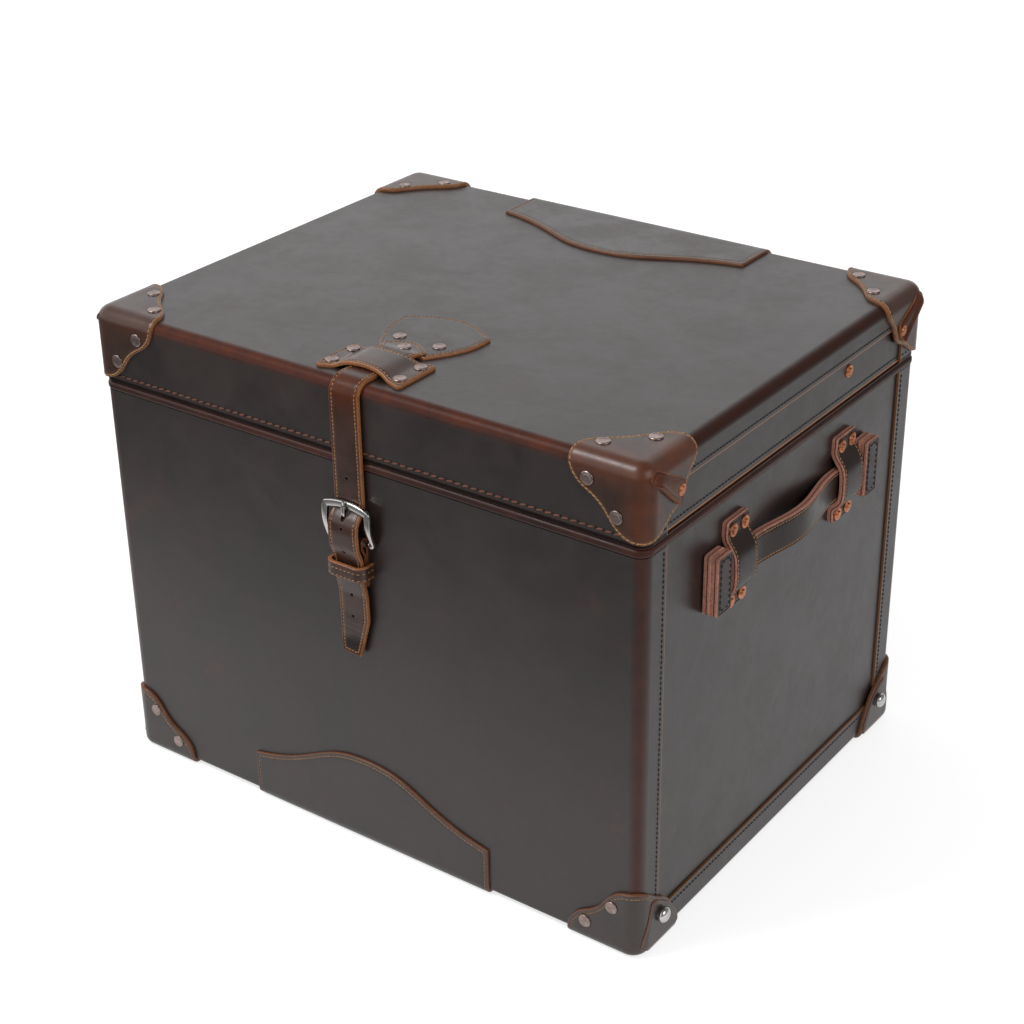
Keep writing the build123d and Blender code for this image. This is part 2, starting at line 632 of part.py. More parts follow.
thin_skin = rounded_block(
    -PATCH_LEATHER, LID_LOW, LID_TOP + PATCH_LEATHER, high_radius=LID_EDGE_RADIUS + PATCH_LEATHER
) - rounded_block(0, LID_LOW, LID_TOP, high_radius=LID_EDGE_RADIUS)
outline = patch_outline(lambda a, b: Vector(a, HALF_D - b, LID_TOP), REAR_PATCH_EXTRA)
top_zone = extrude(outline, LID_EDGE_RADIUS, dir=(0, 0, -1)) + extrude(outline, CAP_MARGIN, dir=(0, 0, 1))
rear_part = between(
    thin_skin, x=(-PATCH_HALF, PATCH_HALF), y=(HALF_D - LID_EDGE_RADIUS, FAR), z=(LID_TOP - PATCH_WRAP, FAR)
)
rear_patch = (thin_skin & top_zone) + rear_part
write("rear_patch", rear_patch)

# Boards of the lid
lid_block = board_block(LID_LOW, LID_BOARD_TOP, high_radius=LID_EDGE_RADIUS - SKIN)
roof = LID_BOARD_TOP - BOARD
write("lid_top_board", drill_lid(between(lid_block, z=(roof, FAR))))
write("lid_front_board", drill_lid(between(lid_block, y=(-FAR, -ROOM_Y), z=(0, roof))))
write("lid_back_board", drill_lid(between(lid_block, y=(ROOM_Y, FAR), z=(0, roof))))
for side, name in SIDES:
    board = between(lid_block, x=(side * ROOM_X, side * HALF_W), y=(-ROOM_Y, ROOM_Y), z=(0, roof))
    write("lid_" + name + "_board", drill_lid_side(board, side))

# Leathers of the lid
outer = rounded_block(0, LID_LOW, LID_TOP, high_radius=LID_EDGE_RADIUS)
inner = rounded_block(SKIN, LID_LOW, LID_BOARD_TOP, high_radius=LID_EDGE_RADIUS - SKIN)
lid_leather = outer - inner
for side, name in SIDES:
    x0, x1 = sorted((side * SIDE_FACE, side * FAR))
    lid_leather = lid_leather - slab(x0, x1, -FLANGE_Y, FLANGE_Y, 0, FLAP_Z)
lid_leather = drill_lid_side(drill_lid_side(drill_lid(lid_leather), 1), -1)
write("lid_leather", lid_leather)
for side, name in SIDES:
    x0, x1 = sorted((side * BOARD_X, side * SIDE_FACE))
    strip = slab(x0, x1, -flat_reach, flat_reach, LID_LOW, LID_TOP - LID_EDGE_RADIUS)
    write("lid_band_" + name, drill_lid_side(strip, side))

# Lining and edge binding of the lid
lining = slab(-ROOM_X, ROOM_X, -ROOM_Y, ROOM_Y, LID_LOW + BINDING_LEG, roof)
lining = lining - slab(-CAVITY_X, CAVITY_X, -CAVITY_Y, CAVITY_Y, 0, roof - LINING)
write("lid_lining", drill_lid_side(drill_lid_side(lining, 1), -1))
binding = rounded_block(BINDING_SETBACK, RIM_TOP + LID_SEAT_GAP, LID_LOW)
binding = binding + slab(-ROOM_X, ROOM_X, -ROOM_Y, ROOM_Y, LID_LOW, LID_LOW + BINDING_LEG)
binding = binding - slab(-CAVITY_X, CAVITY_X, -CAVITY_Y, CAVITY_Y, 0, HEIGHT)
write("lid_binding", binding)

# Fasteners of the lid
write("lid_nails", [nail(p, CAP_NAIL_REACH) for p in LID_TOP_NAILS + LID_FACE_NAILS])
lid_rivets = [copper_nail(p, DART_REACH) for p in DART_RIVETS]
lid_rivets += [copper_rivet(p, LID_STAY_GRIP + STAY) for p in LID_STAY_RIVETS]
write("lid_copper_rivets", lid_rivets)

# Shield on the lid, under the strap's end
peak = (0, SHIELD_PEAK_Y)
corner = (SHIELD_HALF, SHIELD_CORNER_Y)
foot = (SHIELD_FOOT_HALF, SHIELD_FOOT_Y)
right_edge = Spline(corner, *SHIELD_WAIST, foot)
left_edge = Spline((-foot[0], foot[1]), *[(-x, y) for x, y in SHIELD_WAIST[::-1]], (-corner[0], corner[1]))
crown = ThreePointArc((-corner[0], corner[1]), peak, corner)
base = Line(foot, (-foot[0], foot[1]))
shield = Pos(0, 0, LID_TOP) * extrude(make_face([crown, right_edge, base, left_edge]), PATCH_LEATHER)
shield = drill(shield, SHIELD_NAILS, NAIL_SHANK_RADIUS, CAP_NAIL_REACH)
shield = drill(shield, STRAP_END_NAIL, NAIL_SHANK_RADIUS, STRAP + CAP_NAIL_REACH)
write("shield_patch", shield)

# Bridge over the strap, a bow-tie outline arched in its middle
near_edge = ThreePointArc(
    (-BRIDGE_HALF, BRIDGE_NEAR_Y), (0, BRIDGE_NEAR_Y + BRIDGE_NEAR_HOLLOW), (BRIDGE_HALF, BRIDGE_NEAR_Y)
)
far_edge = ThreePointArc(
    (BRIDGE_HALF, BRIDGE_FAR_Y), (0, BRIDGE_FAR_Y - BRIDGE_FAR_HOLLOW), (-BRIDGE_HALF, BRIDGE_FAR_Y)
)
bow_tie = make_face(
    [
        near_edge,
        Line((BRIDGE_HALF, BRIDGE_NEAR_Y), (BRIDGE_HALF, BRIDGE_FAR_Y)),
        far_edge,
        Line((-BRIDGE_HALF, BRIDGE_FAR_Y), (-BRIDGE_HALF, BRIDGE_NEAR_Y)),
    ]
)
flat_mid = LID_TOP + CAP_LEATHER / 2
arch_mid = LID_TOP + STRAP + SEAT + CAP_LEATHER / 2
arch_half = STRAP_WIDTH / 2 + BRIDGE_SIDE_GAP
arch = [
    (-BRIDGE_HALF, flat_mid),
    (-arch_half - BRIDGE_SHOULDER, flat_mid),
    (-arch_half, arch_mid),
    (arch_half, arch_mid),
    (arch_half + BRIDGE_SHOULDER, flat_mid),
    (BRIDGE_HALF, flat_mid),
]
arched = band(arch, CAP_LEATHER, CAP_LEATHER, Plane.XZ, DEPTH)
bridge = arched & Pos(0, 0, LID_TOP - 1) * extrude(bow_tie, BEYOND / 2)
write("strap_bridge", drill(bridge, BRIDGE_NAILS, NAIL_SHANK_RADIUS, CAP_NAIL_REACH))

# Strap: the part fixed to the lid, then the part that falls over the front
STRAP_OFF = STRAP_STANDOFF + STRAP / 2
on_shield = SHIELD_TOP + STRAP / 2
on_lid = LID_TOP + STRAP / 2
root_line = [
    (STRAP_END_PEAK_Y, on_shield),
    (SHIELD_FOOT_Y - STRAP_STEP_START, on_shield),
    (SHIELD_FOOT_Y - STRAP_STEP_END, on_lid),
    (-HALF_D - STRAP_OFF, on_lid),
    (-HALF_D - STRAP_OFF, STRAP_HINGE_Z),
]
over_edge = LID_EDGE_RADIUS + STRAP_STANDOFF / 2 + STRAP / 2
root_face = band_face(root_line, STRAP, over_edge, Plane.YZ)
root_strip = extrude(root_face, STRAP_END_HALF, both=True)
half = STRAP_WIDTH / 2
strap_end = make_face(
    [
        Spline(
            (STRAP_END_HALF, STRAP_END_CORNER_Y),
            (0, STRAP_END_PEAK_Y),
            (-STRAP_END_HALF, STRAP_END_CORNER_Y),
        ),
        Polyline(
            (-STRAP_END_HALF, STRAP_END_CORNER_Y),
            (-half, STRAP_END_NECK_Y),
            (-half, -HALF_D - BEYOND),
            (half, -HALF_D - BEYOND),
            (half, STRAP_END_NECK_Y),
            (STRAP_END_HALF, STRAP_END_CORNER_Y),
        ),
    ]
)
strap_root = root_strip & Pos(0, 0, STRAP_HINGE_Z - 1) * extrude(strap_end, BEYOND)
strap_root = drill(strap_root, STRAP_END_NAIL, NAIL_SHANK_RADIUS, STRAP + CAP_NAIL_REACH)
write("strap_root", strap_root)

strap_nails = [nail(p, CAP_NAIL_REACH) for p in SHIELD_NAILS + BRIDGE_NAILS]
strap_nails += [nail(p, STRAP + CAP_NAIL_REACH) for p in STRAP_END_NAIL]
write("strap_nails", strap_nails)

# Distances of the strap's stack off the front leather
fold_radius = BAR_RADIUS + PIN_CLEARANCE + CHAPE_LEATHER
bar_off = fold_radius
over_bar = 2 * fold_radius + SEAT + STRAP / 2
over_nails = CHAPE_DEPTH + NAIL_HEAD + SEAT / 2 + STRAP / 2
fall_line = front_line(
    [
        (STRAP_OFF, STRAP_HINGE_Z - SEAT),
        (STRAP_OFF, BAR_Z + STRAP_DROPS_IN),
        (over_bar, BAR_Z + STRAP_OVER_BAR),
        (over_bar, BAR_Z - CHAPE_LEG_STRAIGHT),
        (over_nails, KEEPER_TOP_Z + SEAT),
        (over_nails, CHAPE_FOOT_Z),
        (STRAP_OFF + STRAP_LIFT_TO_TIP, CHAPE_FOOT_Z - STRAP_DROPS_IN),
        (STRAP_OFF + STRAP_LIFT_TO_TIP, STRAP_TIP_Z),
    ]
)
fall_strip = band(fall_line, STRAP, STRAP_BEND, Plane.YZ, STRAP_WIDTH)
tip = make_face(
    Polyline(
        (-half, STRAP_HINGE_Z),
        (-half, STRAP_TIP_Z),
        (half - STRAP_TIP_INSET, STRAP_TIP_Z),
        (half, STRAP_TIP_Z + STRAP_TIP_CUT),
        (half, STRAP_HINGE_Z),
        close=True,
    )
)
fall_zone = extrude(Plane.XZ * tip, HALF_D + BEYOND)
strap_fall = fall_strip & fall_zone
for i in range(HOLE_COUNT):
    if i not in HIDDEN_HOLES:
        hole = facing(0, -HALF_D, BAR_Z + FIRST_HOLE_ABOVE_BAR - i * HOLE_PITCH, (0, -1, 0))
        strap_fall = strap_fall - post(hole, HOLE_RADIUS, 0, BEYOND)
slot_half = PRONG_WIDTH / 2 + PRONG_SIDE_GAP
slot_low = BAR_Z + STRAP_OVER_BAR + STRAP / 2
slot = slab(-slot_half, slot_half, -HALF_D - BEYOND, -HALF_D, slot_low, FRAME_TOP_Z - FRAME_RAIL)
strap_fall = strap_fall - slot
write("strap_fall", strap_fall)

# Buckle: chape folded round the bar, frame and prong turning on it
bar = Plane(origin=(0, -HALF_D - bar_off, BAR_Z), z_dir=(1, 0, 0))
fold = post(bar, fold_radius, -CHAPE_WIDTH / 2, CHAPE_WIDTH / 2)
back_leg = slab(
    -CHAPE_WIDTH / 2, CHAPE_WIDTH / 2, -HALF_D - CHAPE_LEATHER, -HALF_D, CHAPE_FOOT_Z, BAR_Z
)
front_leg = band(
    front_line(
        [
            (2 * fold_radius - CHAPE_LEATHER / 2, BAR_Z),
            (2 * fold_radius - CHAPE_LEATHER / 2, BAR_Z - CHAPE_LEG_STRAIGHT),
            (CHAPE_DEPTH - CHAPE_LEATHER / 2, BAR_Z - CHAPE_LEG_JOIN),
            (CHAPE_DEPTH - CHAPE_LEATHER / 2, CHAPE_FOOT_Z),
        ]
    ),
    CHAPE_LEATHER,
    CHAPE_LEATHER,
    Plane.YZ,
    CHAPE_WIDTH,
)
chape = fold + back_leg + front_leg
chape = chape - post(bar, BAR_RADIUS + PIN_CLEARANCE, -BEYOND, BEYOND)
slot_low = BAR_Z - fold_radius - PRONG - SEAT
prong_slot = slab(-slot_half, slot_half, -HALF_D - BEYOND, -HALF_D - SEAT, slot_low, BAR_Z + BEYOND)
chape = chape - prong_slot
write("buckle_chape", drill(chape, CHAPE_NAILS, NAIL_SHANK_RADIUS, CHAPE_NAIL_REACH))

rail_back = STRAP_STANDOFF + STRAP + SEAT
rail_mid = rail_back + FRAME_THICKNESS / 2
arm_inner = FRAME_WIDTH / 2 - FRAME_ARM
rail = slab(
    -FRAME_WIDTH / 2,
    FRAME_WIDTH / 2,
    -HALF_D - rail_back - FRAME_THICKNESS,
    -HALF_D - rail_back,
    FRAME_TOP_Z - FRAME_RAIL,
    FRAME_TOP_Z,
)
arm_line = front_line(
    [
        (rail_mid, FRAME_TOP_Z - FRAME_RAIL / 2),
        (rail_mid + FRAME_ARCH, (FRAME_TOP_Z + BAR_Z) / 2),
        (bar_off, BAR_Z - BAR_RADIUS),
    ]
)
frame = rail + post(bar, BAR_RADIUS, -FRAME_WIDTH / 2, FRAME_WIDTH / 2)
for side in (-1, 1):
    arm = extrude(band_face(arm_line, FRAME_THICKNESS, STRAP_BEND * 2, Plane.YZ), FRAME_ARM)
    start = arm_inner if side > 0 else -FRAME_WIDTH / 2
    frame = frame + Pos(start, 0, 0) * arm
write("buckle_frame", frame)

prong_ring = post(bar, fold_radius - SEAT, -PRONG_WIDTH / 2, PRONG_WIDTH / 2)
over_rail = rail_back + FRAME_THICKNESS + SEAT + PRONG / 2
prong_line = front_line(
    [
        (bar_off, BAR_Z),
        (bar_off, BAR_Z + PRONG_FLAT),
        (over_rail, FRAME_TOP_Z - FRAME_RAIL - PRONG / 2),
        (over_rail, FRAME_TOP_Z + PRONG_PAST_RAIL),
    ]
)
prong = prong_ring + band(prong_line, PRONG, PRONG, Plane.YZ, PRONG_WIDTH)
prong = prong - post(bar, BAR_RADIUS + PIN_CLEARANCE, -BEYOND, BEYOND)
write("buckle_prong", prong)

# Keeper loop round the strap and chape, its ends sewn to the front
keeper_inner = STRAP_WIDTH / 2 + KEEPER_SIDE_GAP
keeper_reach = over_nails + STRAP / 2 + SEAT
keeper_line = [
    (-keeper_inner - KEEPER_LEATHER / 2, -HALF_D),
    (-keeper_inner - KEEPER_LEATHER / 2, -HALF_D - keeper_reach - KEEPER_LEATHER / 2),
    (keeper_inner + KEEPER_LEATHER / 2, -HALF_D - keeper_reach - KEEPER_LEATHER / 2),
    (keeper_inner + KEEPER_LEATHER / 2, -HALF_D),
]
keeper_face = band_face(keeper_line, KEEPER_LEATHER, KEEPER_LEATHER * 0.8, Plane.XY)
write("strap_keeper", Pos(0, 0, KEEPER_LOW_Z) * extrude(keeper_face, KEEPER_HEIGHT))

# Handles: a bowed strap with wide ends, a stop block sewn on each end, and two loops
strap_mid = SIDE_FACE + GRIP_OFF + GRIP / 2


def bow_at(y):
    """Distance that the grip stands out at a place along it."""
    return GRIP_BOW * (1 + math.cos(math.pi * y / GRIP_BOW_HALF)) / 2


bow_ys = [GRIP_BOW_HALF * step / 3 for step in range(-3, 4)]
inner_pts = [(strap_mid - GRIP / 2 + bow_at(y), y) for y in bow_ys]
outer_pts = [(x + GRIP, y) for x, y in inner_pts]
for side, name in SIDES:
    inner_curve = Spline(*inner_pts, tangents=[(0, 1), (0, 1)])
    outer_curve = Spline(*outer_pts, tangents=[(0, 1), (0, 1)])
    near_x = inner_pts[0][0]
    far_x = near_x + GRIP
    upper_end = Polyline(
        (near_x, GRIP_BOW_HALF), (near_x, HANDLE_HALF), (far_x, HANDLE_HALF), (far_x, GRIP_BOW_HALF)
    )
    lower_end = Polyline(
        (far_x, -GRIP_BOW_HALF), (far_x, -HANDLE_HALF), (near_x, -HANDLE_HALF), (near_x, -GRIP_BOW_HALF)
    )
    grip_face = make_face([inner_curve, upper_end, outer_curve, lower_end])
    grip = Pos(0, 0, GRIP_Z - GRIP_HEIGHT / 2) * extrude(grip_face, GRIP_HEIGHT)
    grip = fillet(grip.faces().sort_by(Axis.Z)[-1].edges().filter_by(GeomType.BSPLINE), GRIP_ROUND)
    ends = []
    blocks = []
    for end in (-1, 1):
        y0, y1 = sorted((end * (HANDLE_HALF - STOP_LENGTH), end * HANDLE_HALF))
        low = GRIP_Z - STOP_HEIGHT / 2
        ends.append(slab(near_x, far_x, y0, y1, low, low + STOP_HEIGHT))
        blocks.append(slab(far_x, far_x + STOP, y0, y1, low, low + STOP_HEIGHT))
    grip = grip + ends[0] + ends[1]
    loops = []
    for end in (-1, 1):
        near = SIDE_FACE + LOOP / 2
        far = strap_mid + GRIP / 2 + LOOP_GAP + LOOP / 2
        loop_line = [
            (near, LOOP_TOP_Z),
            (near, LOOP_RIVET_ZS[0] - BURR_RADIUS - LOOP_BEND_ROOM),
            (far, GRIP_Z + GRIP_HEIGHT / 2 + LOOP_OVER_GRIP),
            (far, GRIP_Z - GRIP_HEIGHT / 2 - LOOP_UNDER_GRIP),
            (near, LOOP_RIVET_ZS[1] + BURR_RADIUS + LOOP_BEND_ROOM),
            (near, LOOP_FOOT_Z),
        ]
        loop = Pos(0, end * LOOP_Y, 0) * band(loop_line, LOOP, LOOP * 0.8, Plane.XZ, LOOP_WIDTH)
        spots = [p for p in LOOP_RIVETS + STAY_RIVETS if p.origin.X > 0 and p.origin.Y * end > 0]
        loops.append(drill(loop, spots, RIVET_SHANK_RADIUS, LOOP_GRIP))
    if side < 0:
        grip = mirror(grip, about=Plane.YZ)
        blocks = [mirror(b, about=Plane.YZ) for b in blocks]
        loops = [mirror(b, about=Plane.YZ) for b in loops]
    write("handle_strap_" + name, grip)
    write("handle_stops_" + name, blocks)
    write("handle_loops_" + name, loops)

# Hinges: two leaves and a pin each
body_leaves = []
lid_leaves = []
pins = []
for centre in (-HINGE_X, HINGE_X):
    axis = Plane(origin=(centre, AXIS_Y, AXIS_Z), z_dir=(1, 0, 0))
    half_length = HINGE_LENGTH / 2
    half_knuckle = LID_KNUCKLE / 2
    clear = BARREL_RADIUS + KNUCKLE_GAP
    hole = post(axis, PIN_RADIUS + PIN_CLEARANCE, -BEYOND, BEYOND)
    lower = slab(
        centre - half_length, centre + half_length, HALF_D, LEAF_FACE, AXIS_Z - LEAF_DROP, AXIS_Z - clear
    )
    upper = slab(
        centre - half_length, centre + half_length, HALF_D, LEAF_FACE, AXIS_Z + clear, AXIS_Z + LEAF_DROP
    )
    near_y = AXIS_Y - BARREL_RADIUS
    tab = slab(centre - half_knuckle, centre + half_knuckle, near_y, LEAF_FACE, AXIS_Z, AXIS_Z + clear)
    upper = upper + tab + post(axis, BARREL_RADIUS, -half_knuckle, half_knuckle) - hole
    for side in (-1, 1):
        x0, x1 = sorted((side * (half_knuckle + KNUCKLE_GAP), side * half_length))
        tab = slab(centre + x0, centre + x1, near_y, LEAF_FACE, AXIS_Z - clear, AXIS_Z)
        lower = lower + tab + post(axis, BARREL_RADIUS, x0, x1)
    lower = lower - hole
    body_leaves.append(drill(lower, BODY_HINGE_NAILS, NAIL_SHANK_RADIUS, HINGE_NAIL_REACH))
    lid_leaves.append(drill(upper, LID_HINGE_NAILS, NAIL_SHANK_RADIUS, HINGE_NAIL_REACH))
    pin = post(axis, PIN_RADIUS, -half_length, half_length)
    pin = pin + post(axis, PIN_HEAD_RADIUS, half_length, half_length + PIN_HEAD)
    pin = pin + post(axis, PIN_HEAD_RADIUS, -half_length - PIN_HEAD, -half_length)
    pins.append(pin)
write("hinge_body_leaves", body_leaves)
write("hinge_lid_leaves", lid_leaves)
write("hinge_pins", pins)
write("hinge_body_nails", [nail(p, HINGE_NAIL_REACH) for p in BODY_HINGE_NAILS])
write("hinge_lid_nails", [nail(p, HINGE_NAIL_REACH) for p in LID_HINGE_NAILS])

# Stay straps, folded between the side walls' rivets and the lid's
for side, name in SIDES:
    stay_line = [(LOOP_Y - LOOP_RIVET_PITCH / 2 - STAY_WIDTH / 2, LOOP_RIVET_ZS[0])]
    stay_line += [(y, RIM_TOP + rise) for y, rise in STAY_FOLD]
    stay_line += [(STAY_LID_Y - STAY_WIDTH / 2, STAY_LID_Z)]
    stay = extrude(band_face(stay_line, STAY_WIDTH, STAY_BEND, Plane.YZ), STAY)
    stay = Pos(CAVITY_X - STAY, 0, 0) * stay
    spots = [p for p in STAY_RIVETS if p.origin.X > 0]
    stay = drill(stay, spots, RIVET_SHANK_RADIUS, LOOP_GRIP + STAY)
    spots = [p for p in LID_STAY_RIVETS if p.origin.X > 0]
    stay = drill(stay, spots, RIVET_SHANK_RADIUS, LID_STAY_GRIP + STAY)
    if side < 0:
        stay = mirror(stay, about=Plane.YZ)
    write("lid_stay_" + name, stay)
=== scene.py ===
import math
from functools import reduce

import bpy
import numpy as np
from mathutils import Matrix, Vector
from mathutils.geometry import delaunay_2d_cdt


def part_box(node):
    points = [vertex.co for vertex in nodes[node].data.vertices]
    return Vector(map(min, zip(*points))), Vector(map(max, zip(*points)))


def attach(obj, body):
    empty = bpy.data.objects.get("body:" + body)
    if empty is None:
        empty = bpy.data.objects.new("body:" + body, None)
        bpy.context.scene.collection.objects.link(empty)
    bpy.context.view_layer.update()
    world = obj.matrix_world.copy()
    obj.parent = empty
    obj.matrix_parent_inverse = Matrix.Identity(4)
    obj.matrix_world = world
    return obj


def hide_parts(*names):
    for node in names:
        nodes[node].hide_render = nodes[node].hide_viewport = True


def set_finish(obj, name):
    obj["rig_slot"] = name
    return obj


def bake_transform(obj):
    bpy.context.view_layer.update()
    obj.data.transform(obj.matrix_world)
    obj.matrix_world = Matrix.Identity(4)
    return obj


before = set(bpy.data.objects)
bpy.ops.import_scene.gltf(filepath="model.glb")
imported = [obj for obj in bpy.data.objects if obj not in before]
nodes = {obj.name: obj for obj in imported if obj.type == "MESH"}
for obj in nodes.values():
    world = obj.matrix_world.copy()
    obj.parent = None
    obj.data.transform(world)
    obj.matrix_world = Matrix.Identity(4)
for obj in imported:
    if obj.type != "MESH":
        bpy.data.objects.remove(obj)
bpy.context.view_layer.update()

MM = 0.001


# Sizes in millimetres, as the solids have them

HALF_W, HALF_D = 249.5, 199.5
BASE_Z, LID_TOP = 3.0, 397.0
UPRIGHT_R, LID_R, BASE_R = 10.0, 8.5, 4.0
SIDE_FACE = 247.5
FLANGE_Y = 172.0
LID_FLAP_Z, FOOT_STRIP_Z, BAND_FOOT_Z = 373.0, 27.0, 341.2
RIM_Z = 340.0
CAP_THICK = 3.0
STRAP_HALF = 13.0
CHAPE_HALF = 12.4
CORNERS = [(1, -1, "front_right"), (-1, -1, "front_left"), (1, 1, "back_right"), (-1, 1, "back_left")]


# Materials

def rgb(red, green, blue):
    """A colour written as the eight-bit numbers of a picture, as linear light."""
    levels = [c / 255 for c in (red, green, blue)]
    return tuple(c / 12.92 if c <= 0.04045 else ((c + 0.055) / 1.055) ** 2.4 for c in levels) + (1.0,)


def dimmed(colour, share):
    return tuple(share * c for c in colour[:3]) + (1.0,)


class Nodes:
    """Short calls that add nodes to a tree."""

    def __init__(self, tree):
        self.tree = tree

    def node(self, kind, inputs=(), **props):
        made = self.tree.nodes.new("ShaderNode" + kind)
        for key, value in props.items():
            setattr(made, key, value)
        for key, value in dict(inputs).items():
            self.put(made.inputs[key], value)
        return made

    def put(self, socket, value):
        if isinstance(value, bpy.types.NodeSocket):
            self.tree.links.new(value, socket)
        else:
            socket.default_value = value

    def calc(self, op, a, b=0.0):
        return self.node("Math", {0: a, 1: b}, operation=op).outputs[0]

    def times(self, *values):
        return reduce(lambda a, b: self.calc("MULTIPLY", a, b), values)

    def most(self, *values):
        return reduce(lambda a, b: self.calc("MAXIMUM", a, b), values)

    def least(self, a, b):
        return self.calc("MINIMUM", a, b)

    def plus(self, a, b):
        return self.calc("ADD", a, b)

    def minus(self, a, b):
        return self.calc("SUBTRACT", a, b)

    def size(self, value):
        return self.calc("ABSOLUTE", value)

    def off(self, value, level):
        """How far a value is from a level, either way."""
        return self.size(self.minus(value, level))

    def within(self, half, value):
        """Distance inside a half width given in millimetres."""
        return self.minus(half * MM, self.size(value))

    def span(self, value, a, b, low=0.0, high=1.0, kind="SMOOTHSTEP"):
        return self.node("MapRange", {"Value": value, "From Min": a, "From Max": b, "To Min": low,
                                      "To Max": high},
                         interpolation_type=kind).outputs["Result"]

    def mix(self, factor, a, b):
        return self.node("Mix", {"Factor": factor, 6: a, 7: b}, data_type="RGBA").outputs[2]


class Look(Nodes):
    """One material and short calls that add its nodes."""

    def __init__(self, name):
        self.mat = bpy.data.materials.new(name)
        self.mat.use_nodes = True
        super().__init__(self.mat.node_tree)
        self.shader = self.tree.nodes["Principled BSDF"]
        self.place = self.tree.nodes.new("ShaderNodeTexCoord").outputs["Object"]

    def noise(self, scale, detail=3.0, roughness=0.55, distortion=0.0, at=None):
        return self.node("TexNoise", {
            "Vector": at or self.place, "Scale": scale, "Detail": detail,
            "Roughness": roughness, "Distortion": distortion}).outputs["Fac"]

    def stretched(self, scale, shift=(0, 0, 0)):
        return self.node("Mapping", {"Vector": self.place, "Scale": scale,
                                     "Location": shift}).outputs["Vector"]

    def attribute(self, name):
        return self.node("Attribute", attribute_name=name).outputs["Fac"]

    def axes(self):
        return tuple(self.node("SeparateXYZ", {"Vector": self.place}).outputs)

    def bump(self, height, strength, distance, under=None):
        made = self.node("Bump", {"Height": height, "Strength": strength, "Distance": distance})
        if under is not None:
            self.put(made.inputs["Normal"], under)
        return made.outputs["Normal"]

    def finish(self, colour, roughness, normal=None, **others):
        for key, value in {"Base Color": colour, "Roughness": roughness, "Normal": normal, **others}.items():
            if value is not None:
                self.put(self.shader.inputs[key.replace("_", " ")], value)
        return self.mat


def leather(name, dark, mid, warm, edge, rough=(0.31, 0.39), shift=0.0, wear_and_painted_light=None, rimmed=False, grain=1.0,
            cuts=None, sewn=2.3, coat=0.0, coat_rough=0.2, shine=0.5, folds=None, raw_at=None, layered=False):
    """Waxed leather: mottled colour, warm patches and fine grain. Its wear hook adds wear together with
    painted light and shade; cuts, folds and raw_at are functions that add its cut edges, creases, and where a
    raw edge shows."""
    look = Look(name)
    at = look.stretched((1, 1, 1), (shift, shift * 0.7, shift * 1.3))
    clouds = look.noise(5.0, 5.0, 0.58, 0.7, at)
    mottle = look.noise(24.0, 6.0, 0.62, 0.5, at)
    fine = look.noise(140.0, 4.0, 0.6, 0.2, at)
    tone = look.plus(look.times(clouds, 0.5), look.times(mottle, 0.5))
    colour = look.mix(look.span(tone, 0.36, 0.64), dark, mid)
    patches = look.noise(8.5, 4.0, 0.6, 1.2, look.stretched((1, 1, 1), (3.1 + shift, 7.7, 1.9)))
    colour = look.mix(look.span(patches, 0.6, 0.8, 0.0, 0.35), colour, warm)
    streak = look.noise(55.0, 5.0, 0.7, 2.5, look.stretched((1.0, 0.35, 0.25), (shift, 0, 0)))
    colour = look.mix(look.span(streak, 0.62, 0.78, 0.0, 0.2), colour, warm)
    colour = look.mix(look.span(fine, 0.3, 0.7, 0.0, 0.25), colour, dark)
    pores = look.node("TexVoronoi", {"Vector": at, "Scale": 900.0}).outputs["Distance"]
    normal = look.bump(look.noise(17.0, 3.0, 0.5, 0.3, at), 0.25, 0.0022)
    normal = look.bump(pores, 0.10 * grain, 0.0005, normal)
    normal = look.bump(look.noise(950.0, 2.0, 0.5, 0.0, at), 0.10 * grain, 0.0003, normal)
    roughness = look.span(look.plus(look.times(mottle, 0.7), look.times(fine, 0.3)), 0.35, 0.65, *rough)
    if folds:
        normal = look.bump(folds(look), 0.5, 0.0009, normal)
    # wear and painted light: the hook's tint, and less shine, where its amount says
    if wear_and_painted_light:
        amount, tint, matt = wear_and_painted_light(look)
        ragged = look.span(look.noise(60.0, 4.0, 0.6, 0.5, at), 0.25, 0.7, 0.45, 1.0)
        colour = look.mix(look.times(amount, ragged), colour, tint)
        shine = look.span(amount, 0.0, 1.0, shine, matt)
    if cuts:
        colour = look.mix(cuts(look), colour, edge)
    if rimmed:
        rim = look.attribute("rim")
        ragged = look.span(look.noise(90.0, 4.0, 0.6, 0.5, at), 0.3, 0.7, 0.3, 1.0)
        colour = look.mix(look.times(look.span(rim, 0.6, 5.5, 1.0, 0.0), ragged, 0.5), colour, warm)
        # painted shade: a dark line along the stitch groove, the sewn distance in from the cut edge
        colour = look.mix(look.span(look.off(rim, sewn), 0.2, 0.8, 0.5, 0.0), colour, dimmed(dark, 0.4))
        cut = look.span(look.plus(rim, look.times(look.noise(300.0, 2.0), 0.5)), 0.45, 0.85, 1.0, 0.0)
        if raw_at:
            cut = look.times(cut, raw_at(look))
        fibres = look.noise(700.0, 3.0, 0.7, 0.0, look.stretched((1, 1, 1)))
        raw = look.mix(look.span(fibres, 0.3, 0.7), edge, dimmed(edge, 0.55))
        if layered:
            split = look.off(look.attribute("level"), 3.0)
            raw = look.mix(look.span(split, 0.2, 0.55, 0.95, 0.0), raw, rgb(34, 18, 15))
        soil = look.span(look.noise(40.0, 3.0, 0.6, 0.4, at), 0.45, 0.75, 0.0, 0.5)
        colour = look.mix(cut, colour, look.mix(soil, raw, dimmed(edge, 0.35)))
        roughness = look.plus(roughness, look.times(cut, 0.14))
    return look.finish(colour, roughness, normal, Specular_IOR_Level=shine, IOR=1.58, Coat_Weight=coat,
                       Coat_Roughness=coat_rough)


